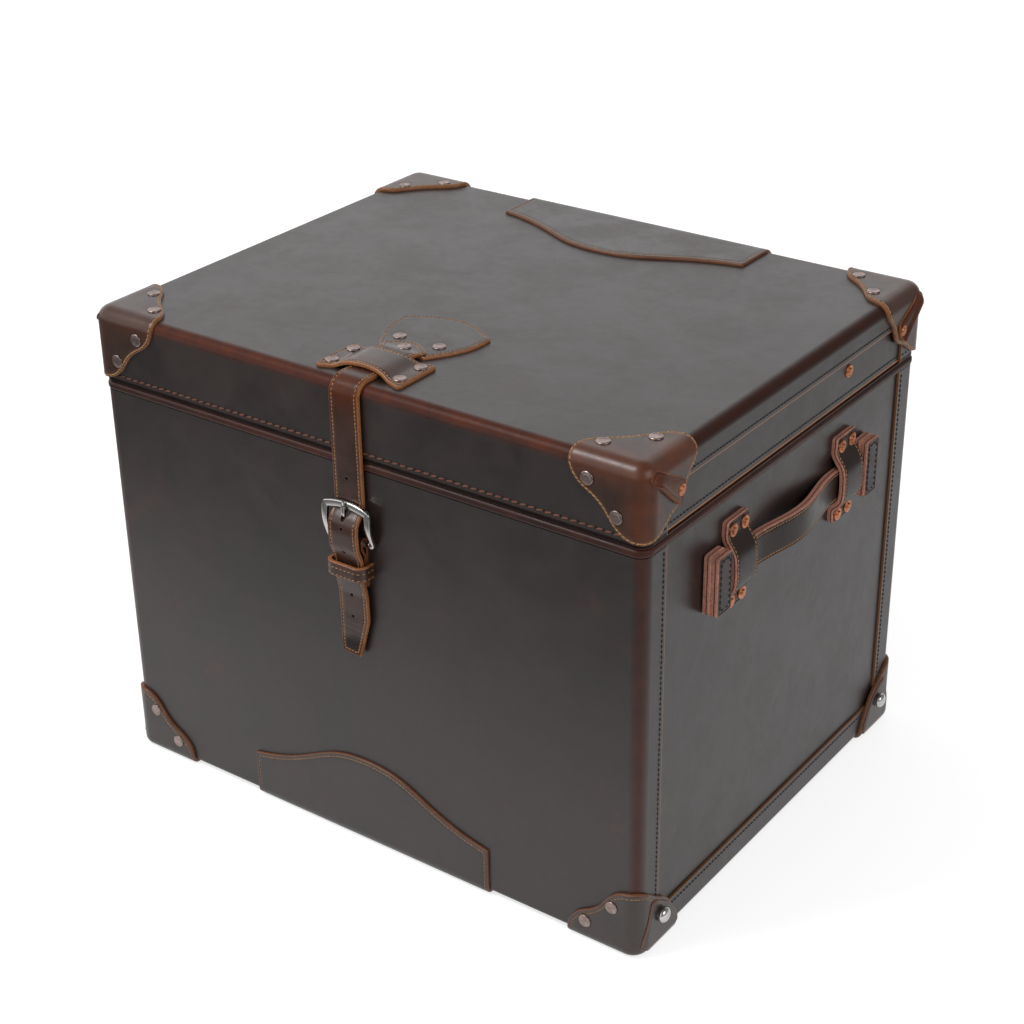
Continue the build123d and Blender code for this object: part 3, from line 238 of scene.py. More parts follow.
def metal(name, colour, rough, wear):
    """Metal with soft smears and fine scratches."""
    look = Look(name)
    smear = look.noise(160.0, 4.0, 0.6, 0.6)
    fine = look.noise(900.0, 2.0, 0.5, 0.0, look.stretched((1, 0.15, 1)))
    tone = look.mix(look.span(smear, 0.35, 0.7), colour, dimmed(colour, wear))
    roughness = look.span(look.plus(look.times(smear, 0.6), look.times(fine, 0.4)), 0.3, 0.7, *rough)
    return look.finish(tone, roughness, look.bump(fine, 0.05, 0.0002), Metallic=1.0)


def panel_wear_and_painted_light(look):
    """Reddish burnish along the upright edges and the lid's rim, partly a painted highlight; painted shade
    darkens it on the side ridges, and a near-black painted shadow lies just above the rim.
    """
    x, y, z = look.axes()
    side, front = look.within(HALF_W, x), look.within(HALF_D, y)
    rim = look.most(look.least(side, front), look.minus(LID_TOP * MM, z))
    amount = look.most(look.span(look.most(side, front), 0.002, 0.012, 0.6, 0.0),
                       look.span(rim, 0.003, 0.0115, 1.0, 0.0))
    # painted shadow of the gap between lid and box, just above the rim
    painted_gap_shadow = look.span(look.off(z, RIM_Z * MM), 0.0015, 0.0035, 1.0, 0.0)
    # reddish where the front or back is near, burnish that is partly a painted highlight; dark on the side
    # ridges, painted shade
    tint = look.mix(look.span(front, 0.008, 0.02), rgb(84, 41, 27), rgb(54, 27, 19))
    tint = look.mix(painted_gap_shadow, tint, rgb(14, 9, 8))
    return look.most(amount, painted_gap_shadow), tint, 0.08


def cut_at(look, value, level):
    """A thin line where a value, in metres, is at a level in millimetres."""
    return look.span(look.off(value, level * MM), 0.0005, 0.0008, 1.0, 0.0)


def flange_cuts(look):
    """Where a panel's cut edge shows on the sides."""
    x, y, z = look.axes()
    proud = look.span(look.size(x), (SIDE_FACE + 0.1) * MM, (SIDE_FACE + 0.3) * MM)
    upright = look.times(cut_at(look, look.size(y), FLANGE_Y), 0.6)
    along = look.most(look.times(cut_at(look, z, LID_FLAP_Z), 0.85),
                      look.times(cut_at(look, z, FOOT_STRIP_Z), 0.5))
    inside = look.span(look.size(y), (FLANGE_Y + 0.4) * MM, (FLANGE_Y + 0.8) * MM, 1.0, 0.0)
    return look.times(look.most(upright, look.times(along, inside)), proud)


def band_cut(look):
    """The side band's cut edge, low down."""
    return look.span(look.off(look.axes()[2], BAND_FOOT_Z * MM), 0.0004, 0.0008, 1.0, 0.0)


def chape_cuts(look):
    """The folded leather's cut edges, at its two sides."""
    return look.span(look.size(look.axes()[0]), (CHAPE_HALF - 0.3) * MM, CHAPE_HALF * MM)


def cap_wear_and_painted_light(look):
    """Caps are rubbed warmer towards their three ridges; the front right one is warmed most, which is painted
    light.
    """
    x, y, z = look.axes()
    side, front = look.within(HALF_W + CAP_THICK, x), look.within(HALF_D + CAP_THICK, y)
    top = look.minus((LID_TOP + CAP_THICK) * MM, z)
    ridge = look.most(look.least(side, front), look.least(look.most(side, front), top))
    # painted light: the warmth is weighted to the front right cap
    by_light = look.times(look.span(x, 0.0, 0.2), look.span(y, 0.05, -0.15))
    amount = look.times(look.span(ridge, 0.002, 0.028, 0.95, 0.0), look.span(by_light, 0.0, 1.0, 0.4, 1.0))
    return amount, rgb(92, 45, 21), 0.36


def off_ridge(look):
    """Away from the upright ridge, where a flap's end is worked down into the cap."""
    return look.span(look.size(look.axes()[1]), 0.182, 0.19, 1.0, 0.1)


def strap_wear(look):
    """The strap is dark at its tip and warm where it bends over the lid's rim."""
    x, y, z = look.axes()
    ragged = look.plus(z, look.times(look.noise(60.0, 3.0), 0.012))
    tip = look.span(ragged, 0.191, 0.206, 1.0, 0.0)
    on_strap = look.span(look.size(x), STRAP_HALF * MM, (STRAP_HALF + 0.5) * MM, 1.0, 0.0)
    bend = look.times(look.span(z, 0.35, 0.398), look.span(y, -0.188, -0.197), on_strap)
    return look.most(tip, bend), look.mix(bend, rgb(14, 9, 8), rgb(86, 44, 27)), 0.14


def tip_folds(look):
    """Small creases across the strap over its tip."""
    z = look.axes()[2]
    lines = look.noise(1.0, 3.0, 0.6, 0.4, look.stretched((25.0, 25.0, 260.0)))
    return look.times(lines, look.times(look.span(z, 0.186, 0.194), look.span(z, 0.212, 0.204)))


def wooden(name):
    """Plywood, with long grain."""
    look = Look(name)
    grain = look.noise(90.0, 5.0, 0.6, 0.6, look.stretched((0.08, 1, 1)))
    colour = look.mix(look.span(grain, 0.35, 0.65), rgb(176, 138, 92), rgb(142, 104, 64))
    return look.finish(colour, look.span(grain, 0.3, 0.7, 0.55, 0.75), look.bump(grain, 0.2, 0.0004))


def woven(name):
    """Lining cloth: two crossed sets of threads."""
    look = Look(name)
    x, y, z = look.axes()
    threads_per_metre = 3200.0
    crossing = (look.plus(x, z), look.minus(y, z))
    weave = look.times(*(look.calc("SINE", look.times(way, threads_per_metre)) for way in crossing))
    slub = look.noise(60.0, 4.0, 0.6, 0.4)
    colour = look.mix(look.span(slub, 0.3, 0.7), rgb(112, 84, 60), rgb(134, 104, 76))
    colour = look.mix(look.span(weave, -1.0, 1.0, 0.0, 0.35), colour, rgb(78, 56, 40))
    return look.finish(colour, look.span(weave, -1.0, 1.0, 0.7, 0.9), look.bump(weave, 0.35, 0.0004))


def threads(name, light, dark):
    """Waxed sewing thread, twisted."""
    look = Look(name)
    twist = look.noise(1400.0, 2.0, 0.6, 0.5)
    soil = look.noise(45.0, 4.0, 0.6, 0.3)
    colour = look.mix(look.span(twist, 0.35, 0.65), light, dark)
    colour = look.mix(look.span(soil, 0.5, 0.75, 0.0, 0.5), colour, dark)
    return look.finish(colour, look.span(twist, 0.3, 0.7, 0.5, 0.7), look.bump(twist, 0.3, 0.0002))


PANEL_WARM = rgb(78, 40, 31)
PANEL_EDGE = rgb(156, 102, 60)
TAN_EDGE = rgb(166, 106, 62)
CAP_EDGE = rgb(124, 74, 44)
PATCH_TONES = rgb(34, 26, 24), rgb(50, 38, 34), rgb(84, 48, 36)
STRAP_ROUGH = (0.24, 0.36)
CAP_ROUGH = (0.26, 0.36)
PATCH_ROUGH = (0.28, 0.4)
STRAP_SHIFT = 11.9

panel_leather = leather("panel_leather", rgb(31, 23, 22), rgb(45, 34, 32), PANEL_WARM, PANEL_EDGE,
                        wear_and_painted_light=panel_wear_and_painted_light,
                        cuts=flange_cuts)
band_leather = leather("band_leather", rgb(30, 22, 20), rgb(44, 32, 29), PANEL_WARM, PANEL_EDGE, shift=2.3,
                       cuts=band_cut)
cap_leather = leather("cap_leather", rgb(38, 24, 18), rgb(62, 38, 27), rgb(108, 56, 30), rgb(150, 98, 62),
                      CAP_ROUGH,
                      5.1, rimmed=True, sewn=1.6, grain=0.3, coat=0.16, coat_rough=0.36, shine=0.34,
                      wear_and_painted_light=cap_wear_and_painted_light)
foot_leather = leather("foot_leather", rgb(34, 25, 22), rgb(52, 38, 33), rgb(90, 52, 36), CAP_EDGE, CAP_ROUGH,
                       6.9,
                       rimmed=True, sewn=3.4)
flap_leather = leather("flap_leather", rgb(46, 24, 14), rgb(78, 39, 21), rgb(118, 60, 30), rgb(150, 90, 50),
                       (0.28, 0.38), 6.3, rimmed=True, sewn=1.5, shine=0.2, raw_at=off_ridge)
handle_leather = leather("handle_leather", rgb(26, 17, 14), rgb(42, 27, 21), rgb(74, 42, 29),
                         rgb(204, 142, 122),
                         (0.3, 0.42), 13.5, rimmed=True, shine=0.24, layered=True)
patch_leather = leather("patch_leather", *PATCH_TONES, CAP_EDGE, PATCH_ROUGH, 8.7, rimmed=True, sewn=3.0)
crest_leather = leather("crest_leather", *PATCH_TONES, TAN_EDGE, PATCH_ROUGH, 9.4, rimmed=True)
strap_leather = leather("strap_leather", rgb(42, 23, 16), rgb(66, 35, 23), rgb(108, 56, 32), TAN_EDGE,
                        STRAP_ROUGH,
                        STRAP_SHIFT, rimmed=True, sewn=2.6, grain=0.4, wear_and_painted_light=strap_wear, folds=tip_folds)
chape_leather = leather("chape_leather", rgb(42, 24, 17), rgb(64, 36, 25), rgb(104, 56, 34), rgb(104, 62, 38),
                        STRAP_ROUGH, STRAP_SHIFT, cuts=chape_cuts)
plain_strap = leather("plain_strap_leather", rgb(46, 28, 22), rgb(68, 42, 32), rgb(100, 56, 38), TAN_EDGE,
                      STRAP_ROUGH, STRAP_SHIFT)
edge_leather = leather("edge_leather", rgb(40, 17, 11), rgb(66, 29, 17), rgb(98, 46, 26), TAN_EDGE,
                       (0.36, 0.5), 4.2,
                       shine=0.25)
polished = metal("polished_steel", rgb(206, 204, 202), (0.07, 0.16), 0.84)
steel = metal("steel", rgb(190, 188, 186), (0.22, 0.38), 0.8)
pewter = metal("pewter", rgb(166, 147, 142), (0.26, 0.42), 0.62)
copper = metal("copper", rgb(206, 134, 96), (0.26, 0.44), 0.72)
tan_thread = threads("tan_thread", rgb(184, 140, 92), rgb(124, 88, 54))
lid_thread = threads("lid_thread", rgb(124, 72, 46), rgb(84, 46, 32))
dark_thread = threads("dark_thread", rgb(34, 24, 21), rgb(18, 13, 12))
black_thread = threads("black_thread", rgb(22, 16, 14), rgb(10, 8, 7))
wood = wooden("plywood")
cloth = woven("lining_cloth")

CAD_LOOKS = {
    "board": wood, "lining": cloth, "_leather": panel_leather, "lid_band": band_leather,
    "rim_welt": edge_leather,
    "lid_binding": edge_leather, "cap_": edge_leather, "_patch": edge_leather, "strap": plain_strap,
    "chape": chape_leather, "handle": plain_strap, "stay": plain_strap, "buckle_frame": polished,
    "buckle_prong": polished, "nails": pewter, "rivets": copper, "studs": polished, "leaves": steel,
    "pins": steel,
}
for name, obj in nodes.items():
    obj.data.materials.clear()
    obj.data.materials.append([look for key, look in CAD_LOOKS.items() if key in name][-1])


# Curves and distances

def lengths(line):
    """Distance along a line to each of its points."""
    return np.concatenate([[0.0], np.cumsum(np.linalg.norm(np.diff(line, axis=0), axis=1))])


def unit(v):
    return v / (np.linalg.norm(v, axis=-1, keepdims=True) + 1e-12)


def leftward(way):
    return np.stack([-way[:, 1], way[:, 0]], axis=1)


def ease(t):
    """Smooth step from 0 to 1."""
    t = np.clip(t, 0, 1)
    return t * t * (3 - 2 * t)


def bell(distance, width):
    return np.exp(-(distance / width) ** 2)


def columns(*parts):
    """Points from their coordinates, which may be arrays or single numbers."""
    length = max(np.size(p) for p in parts)
    return np.stack([np.broadcast_to(np.asarray(p, float), (length,)) for p in parts], axis=1)


def circle(radius, count, x=0.0, y=0.0):
    turn = 2 * np.pi * np.arange(count) / count
    return columns(x + radius * np.cos(turn), y + radius * np.sin(turn))


def cubic(points, start=None, end=None, step=0.5):
    """Smooth curve through points, with the given end directions where there are any."""
    p = np.array(points, float)
    n = len(p)
    t = lengths(p)
    h = np.diff(t)
    slope = np.diff(p, axis=0) / h[:, None]
    a = np.eye(n)
    right_side = np.zeros_like(p)
    for i in range(1, n - 1):
        a[i, i - 1:i + 2] = h[i - 1], 2 * (h[i - 1] + h[i]), h[i]
        right_side[i] = 6 * (slope[i] - slope[i - 1])
    if start is not None:
        a[0, :2] = 2 * h[0], h[0]
        right_side[0] = 6 * (slope[0] - np.array(start, float))
    if end is not None:
        a[-1, -2:] = h[-1], 2 * h[-1]
        right_side[-1] = 6 * (np.array(end, float) - slope[-1])
    m = np.linalg.solve(a, right_side)
    u = np.linspace(0, t[-1], max(int(round(t[-1] / step)), 2) + 1)
    k = np.clip(np.searchsorted(t, u, side="right") - 1, 0, n - 2)
    s = (u - t[k])[:, None]
    w = h[k][:, None]
    bend = (m[k + 1] - m[k]) / (6 * w)
    return p[k] + s * (slope[k] - w * (2 * m[k] + m[k + 1]) / 6) + s ** 2 * m[k] / 2 + s ** 3 * bend


def bent(points, radius, step=0.6):
    """Line through points, with each corner rounded to a radius where there is room."""
    p = [np.array(q, float) for q in points]
    line = [p[0]]
    for before, here, after in zip(p, p[1:], p[2:]):
        a, b = before - here, after - here
        la, lb = np.linalg.norm(a), np.linalg.norm(b)
        a, b = a / la, b / lb
        turn = math.pi - math.acos(float(np.clip(a @ b, -1, 1)))
        if turn < 1e-3:
            line.append(here)
            continue
        cut = min(radius * math.tan(turn / 2), 0.48 * la, 0.48 * lb)
        bow = cut / math.tan(turn / 2)
        centre = here + (a + b) / np.linalg.norm(a + b) * math.hypot(bow, cut)
        first, last = here + a * cut - centre, here + b * cut - centre
        for w in np.linspace(0, 1, 9):
            spoke = first * math.sin((1 - w) * turn) + last * math.sin(w * turn)
            line.append(centre + spoke / math.sin(turn))
    return even(line + [p[-1]], step)


def turned_loop(points, radius):
    """Closed outline with rounded corners, starting in the middle of a side."""
    p = [np.array(q, float) for q in points]
    start = (p[0] + p[-1]) / 2
    return bent([start] + p + [start], radius)


def arc_through(a, mid, b, count=40):
    """Shallow arc through three points, as a parabola in x."""
    x = np.linspace(a[0], b[0], count)
    return columns(x, np.polyval(np.polyfit([a[0], mid[0], b[0]], [a[1], mid[1], b[1]], 2), x))


def even(line, step):
    """The same line with points spread evenly along it; its ends stay."""
    line = np.array(line, float)
    t = lengths(line)
    u = np.linspace(0, t[-1], max(int(round(t[-1] / step)), 1) + 1)
    return columns(*(np.interp(u, t, part) for part in line.T))


def gap(p, a, b):
    """Distance from each point to the nearest of the segments from a to b."""
    best = np.full(len(p), 1e9)
    for start in range(0, len(a), 64):
        s, e = a[start:start + 64], b[start:start + 64]
        d = e - s
        t = np.clip(((p[:, None] - s) * d).sum(2) / (d * d).sum(1), 0, 1)
        best = np.minimum(best, np.linalg.norm(p[:, None] - s - t[..., None] * d, axis=2).min(1))
    return best


def within(p, loop):
    """Whether each flat point lies inside a closed loop."""
    nxt = np.roll(loop, -1, axis=0)
    y = p[:, 1][:, None]
    crosses = (loop[:, 1] > y) != (nxt[:, 1] > y)
    rise = nxt[:, 1] - loop[:, 1]
    rise = np.where(rise == 0, 1e-12, rise)
    x = loop[:, 0] + (y - loop[:, 1]) / rise * (nxt[:, 0] - loop[:, 0])
    return (crosses & (p[:, 0][:, None] < x)).sum(1) % 2 == 1


# Where flat leather lies on the trunk

def block_distance(p, lid):
    """Distance off the trunk's rounded box, whose top or foot has its own rounding."""
    q = np.abs(p[:, :2]) - (np.array([HALF_W, HALF_D]) - UPRIGHT_R)
    across = np.linalg.norm(np.maximum(q, 0), axis=1) + np.minimum(q.max(axis=1), 0) - UPRIGHT_R
    r, rise = (LID_R, p[:, 2] - LID_TOP) if lid else (BASE_R, BASE_Z - p[:, 2])
    a, b = across + r, rise + r
    return np.hypot(np.maximum(a, 0), np.maximum(b, 0)) + np.minimum(np.maximum(a, b), 0) - r


def on_block(lid):
    """Place for leather on the lid or the base: sharp-box points go out to a height over the rounded box."""
    def place(p, h):
        p = p.copy()
        for _ in range(5):
            way = columns(*(block_distance(p + e, lid) - block_distance(p - e,
                                                                        lid) for e in np.eye(3) * 0.01))
            p = p - (block_distance(p, lid) - h)[:, None] * unit(way)
        return p
    return place


def on_line(line, across, out_sign=1.0, mid=0.0):
    """Place for a ribbon: flat points are (across, along a bent line); the height is off its inner face."""
    line = np.array(line, float)
    t = lengths(line)
    out = out_sign * leftward(unit(np.gradient(line, t, axis=0)))

    def place(p, h):
        at, way = (columns(*(np.interp(p[:, 1], t, part) for part in parts.T)) for parts in (line, out))
        at = at + unit(way) * (h - mid)[:, None]
        return across(p[:, 0], at[:, 0], at[:, 1])
    return place, t[-1]


def flat_on(level):
    return lambda p, h: columns(p[:, 0], p[:, 1], level + h)


def as_flat(p):
    return columns(p[:, 0], p[:, 1], 0.0)


# Meshes

def add_piece(name, verts, faces, look, body, slot, attrs=(), sharp=50.0):
    """A mesh from points in millimetres, riding on a body."""
    mesh = bpy.data.meshes.new(name)
    mesh.from_pydata([tuple(v) for v in np.asarray(verts) * MM], [],
                     [tuple(int(i) for i in f) for f in faces])
    for key, values in dict(attrs).items():
        mesh.attributes.new(key, "FLOAT", "POINT").data.foreach_set("value", np.asarray(values, np.float32))
    mesh.update()
    mesh.shade_smooth()
    mesh.set_sharp_from_angle(angle=math.radians(sharp))
    obj = bpy.data.objects.new(name, mesh)
    bpy.context.scene.collection.objects.link(obj)
    mesh.materials.append(look)
    if body:
        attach(obj, body)
    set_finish(obj, slot)
    return obj


def triangles(loop, inner, holes=()):
    """Fills a closed flat loop with triangles, round any holes."""
    edges, base = [], 0
    for ring in [loop] + list(holes):
        n = len(ring)
        edges += [(base + i, base + (i + 1) % n) for i in range(n)]
        base += n
    flat = np.vstack([loop] + list(holes) + [inner])
    verts, _, faces, *_ = delaunay_2d_cdt([Vector(p) for p in flat], edges, [], 1, 1e-5)
    verts = np.array([tuple(v) for v in verts])
    faces = np.array([tuple(f) for f in faces])
    centre = verts[faces].mean(axis=1)
    keep = within(centre, loop)
    for ring in holes:
        keep &= ~within(centre, ring)
    return verts, faces[keep]


OUTLINE_STEP = 1.2
DEPTHS = (0.25, 0.6, 1.1, 1.7, 2.0, 2.3, 2.7, 3.3, 4.4)
HOLE_RINGS = (1.18, 1.5, 2.2)
HOLE_MARGIN = 3.0


def zone_mesh(pieces, holes, grid):
    """Triangles over one flat outline, closer towards its cut edges, with those edges and the holes."""
    loop, cut = [], []
    for line, is_cut in pieces:
        line = even(line, OUTLINE_STEP)
        loop.append(line[:-1])
        cut += [is_cut] * (len(line) - 1)
    loop, cut = np.vstack(loop), np.array(cut)
    after = np.roll(loop, -1, axis=0)
    area = (loop[:, 0] * after[:, 1] - loop[:, 1] * after[:, 0]).sum()
    cut_edge = loop[cut], after[cut]
    hole_edges = [(h, np.roll(h, -1, axis=0)) for h in holes]
    left = leftward(unit(after - np.roll(loop, 1, axis=0))) * np.sign(area)
    touched = cut | np.roll(cut, 1)
    inner = []
    for depth in DEPTHS:
        ring = loop[touched] + left[touched] * depth
        inner.append(ring[within(ring, loop) & (gap(ring, *cut_edge) > 0.93 * depth)])
    for h in holes:
        inner += [h.mean(axis=0) + (h - h.mean(axis=0)) * k for k in HOLE_RINGS]
    low, high = loop.min(axis=0) + grid / 2, loop.max(axis=0)
    xs, ys = np.meshgrid(np.arange(low[0], high[0], grid), np.arange(low[1], high[1], grid))
    xs[1::2] += grid / 2
    net = columns(xs.ravel(), ys.ravel())
    net = net[within(net, loop)]
    net = net[gap(net, loop, after) > 0.45 * grid]
    net = net[gap(net, *cut_edge) > DEPTHS[-1] + 0.3 * grid]
    for edge in hole_edges:
        net = net[(gap(net, *edge) > HOLE_MARGIN) & ~within(net, edge[0])]
    inner = np.vstack(inner + [net])
    for h in holes:
        inner = inner[~within(inner, h)]
    return *triangles(loop, inner, holes), cut_edge, hole_edges


def leather_sheet(name, zones, place, thickness, look, body, slot, base=0.0, grid=3.0, round_edge=0.9,
                  groove=True,
                  dents=(), swell=None, levels=(), sewn=2.3):
    """Cut leather laid on the trunk. Each zone is (pieces of its outline, flat to sharp-box points, holes);
    a piece is (line, whether it is a cut edge). Levels are (height, way out) rows down the cut edge."""
    flat, faces, cuts, rings, count = [], [], [], [], 0
    for pieces, lift, holes in zones:
        verts, tris, cut_edge, hole_edges = zone_mesh(pieces, holes, grid)
        flat.append(lift(verts))
        faces.append(tris + count)
        count += len(verts)
        cuts.append([lift(p) for p in cut_edge])
        rings += [[lift(p) for p in edge] for edge in hole_edges]
    flat, faces = np.vstack(flat), np.vstack(faces)
    _, first, back = np.unique(np.round(flat / 0.01 + 0.137).astype(np.int64), axis=0, return_index=True,
                               return_inverse=True)
    flat, faces = flat[first], back.ravel()[faces]
    faces = faces[(faces != np.roll(faces, 1, axis=1)).all(axis=1)]
    rim = gap(flat, *(np.vstack(side) for side in zip(*cuts)))
    edge = reduce(np.minimum, [gap(flat, a, b) + 0.4 for a, b in rings], rim)
    inside = np.clip(round_edge - edge, 0, round_edge)
    height = thickness - round_edge + np.sqrt(round_edge ** 2 - inside ** 2)
    if groove:
        height = height - 0.35 * bell(rim - sewn, 0.6)
    for spot, depth, spread in dents:
        height = height - depth * bell(np.linalg.norm(flat - np.array(spot), axis=1), spread)
    if swell:
        height = height + swell(flat)
    top, above = place(flat, base + height), place(flat, base + height + 1.0)
    a, b, c = (top[faces[:, i]] for i in range(3))
    wrong = (np.cross(b - a, c - a) * (above - top)[faces].mean(axis=1)).sum(axis=1) < 0
    faces[wrong] = faces[wrong][:, ::-1]
    walls, rims, rises, lower, under = cut_walls(flat, faces, top, above, rim, height, base, place, levels)
    return add_piece(name, np.vstack([top] + walls), [tuple(f) for f in faces] + lower + under, look, body,
                     slot,
                     {"rim": np.concatenate([rim] + rims), "level": np.concatenate([height] + rises)})


def cut_walls(flat, faces, top, above, rim, height, base, place, levels):
    """The rows of a sheet's cut edge, down to its foot, and its underside."""
    sides = {(int(a), int(b)) for a, b in np.vstack([faces[:, [0, 1]], faces[:, [1, 2]], faces[:, [2, 0]]])}
    border = [(a, b) for a, b in sides if (b, a) not in sides]
    ids = sorted({v for side in border for v in side})
    index = {v: i for i, v in enumerate(ids)}
    push = np.zeros((len(ids), 3))
    for a, b in border:
        side = unit(np.cross(top[b] - top[a], above[a] - top[a]))
        push[index[a]] += side
        push[index[b]] += side
    push = unit(push)
    verts, rims, rises, walls = [], [], [], []
    upper = {v: v for v in ids}
    total = len(top)
    for level, out in list(levels) + [(0.0, 0.0)]:
        h = np.minimum(height[ids], level)
        verts.append(place(flat[ids], base + h) + push * out)
        rims.append(np.where(rim[ids] < 0.3, -1.0, 6.0))
        rises.append(h)
        lower = {v: total + index[v] for v in ids}
        walls += [(upper[b], upper[a], lower[a], lower[b]) for a, b in border]
        upper = lower
        total += len(ids)
    rest = [i for i in range(len(flat)) if i not in index]
    under = {v: total + i for i, v in enumerate(rest)} | upper
    verts.append(place(flat[rest], np.full(len(rest), base)))
    rims.append(np.full(len(rest), 6.0))
    rises.append(np.zeros(len(rest)))
    return verts, rims, rises, walls, [tuple(under[i] for i in f[::-1]) for f in faces]


def mirrored(obj, name, sx, sy, body):
    """The same piece on another corner."""
    mesh = obj.data.copy()
    mesh.transform(Matrix.Diagonal((sx, sy, 1, 1)))
    if sx * sy < 0:
        mesh.flip_normals()
    mesh.name = name
    copy = bpy.data.objects.new(name, mesh)
    bpy.context.scene.collection.objects.link(copy)
    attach(copy, body)
    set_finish(copy, obj["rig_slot"])
    return copy


def bar(rows, closed=False):
    """Points and faces of a bar through rows of points, each row a closed loop round it."""
    rows = np.array(rows)
    count, n = rows.shape[:2]
    faces = []
    for k in range(count if closed else count - 1):
        m = (k + 1) % count
        faces += [(k * n + i, k * n + (i + 1) % n, m * n + (i + 1) % n, m * n + i) for i in range(n)]
    if not closed:
        faces += [tuple(reversed(range(n))), tuple((count - 1) * n + i for i in range(n))]
    return rows.reshape(-1, 3), faces


def ring_solid(profile, count=28):
    """A turned solid from (radius, height) points, its axis along z."""
    verts, faces = bar([columns(*circle(r, count).T, z) for r, z in profile])
    low, high = len(verts), len(verts) + 1
    last = low - count
    ends = [(low, (i + 1) % count, i) for i in range(count)]
    ends += [(high, last + i, last + (i + 1) % count) for i in range(count)]
    return np.vstack([verts, (0, 0, profile[0][1]), (0, 0, profile[-1][1])]), faces[:-2] + ends


chance = np.random.default_rng(7)


def frame_of(out, along=None):
    """Turn whose third axis points out, and its first along a given way or any."""
    out = np.array(out, float) / np.linalg.norm(out)
    if along is None:
        along = chance.normal(size=3)
    along = along - out * (along @ out)
    along = along / np.linalg.norm(along)
    return np.stack([along, np.cross(out, along), out], axis=1)


def spun(turn, angle):
    """A turn after a spin about its own third axis."""
    c, s = math.cos(angle), math.sin(angle)
    return turn @ np.array([[c, -s, 0], [s, c, 0], [0, 0, 1]])


def copied(turns, sx, sy, dy=0.0):
    """Places and turns of small solids, mirrored to another side."""
    out = []
    for at, turn in turns:
        scale = np.array([sx, sy, 1.0])
        flipped = turn * scale[:, None]
        if sx * sy < 0:
            flipped[:, 1] *= -1
        out.append((at * scale + np.array([0, dy, 0]), flipped))
    return out


def scattered(name, template, turns, look, body, slot):
    """Many copies of one small solid: turns is a list of (place, turn)."""
    points, sides = template
    n = len(points)
    verts = np.vstack([points @ turn.T + np.array(at) for at, turn in turns])
    return add_piece(name, verts, [tuple(i + n * k for i in f) for k in range(len(turns)) for f in sides],
                     look, body,
                     slot)


def stitch_solid(length=2.35, width=0.85, height=0.8):
    """One stitch: a short thread with rounded ends, its foot at the leather."""
    rows = []
    for u in np.linspace(0, math.pi, 7):
        r = max(math.sin(u), 0.02) ** 0.6
        rows.append(columns(-math.cos(u) * length / 2, *(circle(r, 6) * (width / 2, height / 2)).T))
    verts, faces = bar(rows)
    return verts, [f[::-1] for f in faces]


STITCH = stitch_solid()
ROPE_STITCH = stitch_solid(3.35, 1.15, 0.9)
THIN_STITCH = stitch_solid(2.9, 0.6, 0.6)
HEAVY_STITCH = stitch_solid(3.1, 1.25, 1.3)
STITCH_INSET = 2.3
THREAD_SUNK = 0.2


def stitches_along(runs, lift, place, height, pitch=3.0, slant=0.0):
    """Places and turns of stitches along flat lines, a height off the leather's foot."""
    turns = []
    for run in runs:
        length = lengths(np.array(run, float))[-1]
        spots = even(run, length / max(int(length / pitch), 1))
        middles = (spots[:-1] + spots[1:]) / 2
        low, high, a, b = (place(lift(p), np.full(len(middles), h)) for p, h in (
            (middles, height), (middles, height + 1.0), (spots[:-1], height), (spots[1:], height)))
        turns += [(low[i], spun(frame_of(high[i] - low[i], b[i] - a[i]), slant)) for i in range(len(middles))]
    return turns


def inner_lines(lines, depth, area_sign):
    """Lines at a depth inside cut edges, kept where they stay clear of them all."""
    a = np.vstack([line[:-1] for line in lines])
    b = np.vstack([line[1:] for line in lines])
    out = []
    for line in lines:
        line = even(line, 0.8)
        moved = line + depth * area_sign * leftward(unit(np.gradient(line, axis=0)))
        out.append(moved[gap(moved, a, b) > depth * 0.97])
    return out


# Corner caps with their flaps

CAP_ALONG, CAP_UPRIGHT = 60.0, 54.5
TOP_WAVE = [(59.0, 10.0), (53.5, 20.0), (43.5, 28.0), (35.2, 35.2), (28.0, 43.5), (20.0, 53.5), (10.0, 59.0)]
FACE_WAVE = [(58.5, 10.0), (51.5, 20.0), (40.5, 27.0), (31.5, 35.0), (25.0, 44.0), (15.0, 52.0)]
SIDE_WAVE = [(58.0, 10.0), (50.0, 19.0), (45.0, 28.0), (40.0, 36.0), (30.0, 40.5), (19.0, 48.0), (9.0, 53.0)]
DART = [(2.0, 7.5), (9.0, 2.5), (41.5, 19.5), (42.0, 28.0), (34.0, 37.0)]
DART_THICK = 2.5
FOOT_SIDE = 52.0
FOOT_SIDE_WAVE = [(50.5, 10.0), (45.0, 19.0), (39.5, 28.0), (32.0, 36.0), (22.0, 42.0), (14.0, 48.5),
                  (7.0, 53.0)]
FOOT_FLAP = [(3.0, 5.0), (14.0, 42.0), (22.0, 39.5), (38.0, 28.0), (48.0, 10.0), (48.5, 1.5), (12.0, 1.0)]
FOOT_FLAP_THICK = 1.2
TOP_NAILS = [(45.0, 18.0), (20.0, 43.0)]
FACE_NAILS = [(44.0, 15.0), (21.0, 37.5)]
DART_RIVET = (36.5, 26.0)
SIDE_STUD = (25.8, 25.0)
WALL = ((1.7, 0.15), (0.5, 0.05))
NAIL_DENT = (0.5, 6.5)
ROPE_PITCH = 3.3


def cap_lifts(level, down):
    """From (distance along, distance up the corner) to the sharp box, on the three faces of a corner."""
    return (lambda p: columns(HALF_W - p[:, 0], p[:, 1] - HALF_D, level),
            lambda p: columns(HALF_W - p[:, 0], -HALF_D, level - down * p[:, 1]),
            lambda p: columns(HALF_W, p[:, 0] - HALF_D, level - down * p[:, 1]))


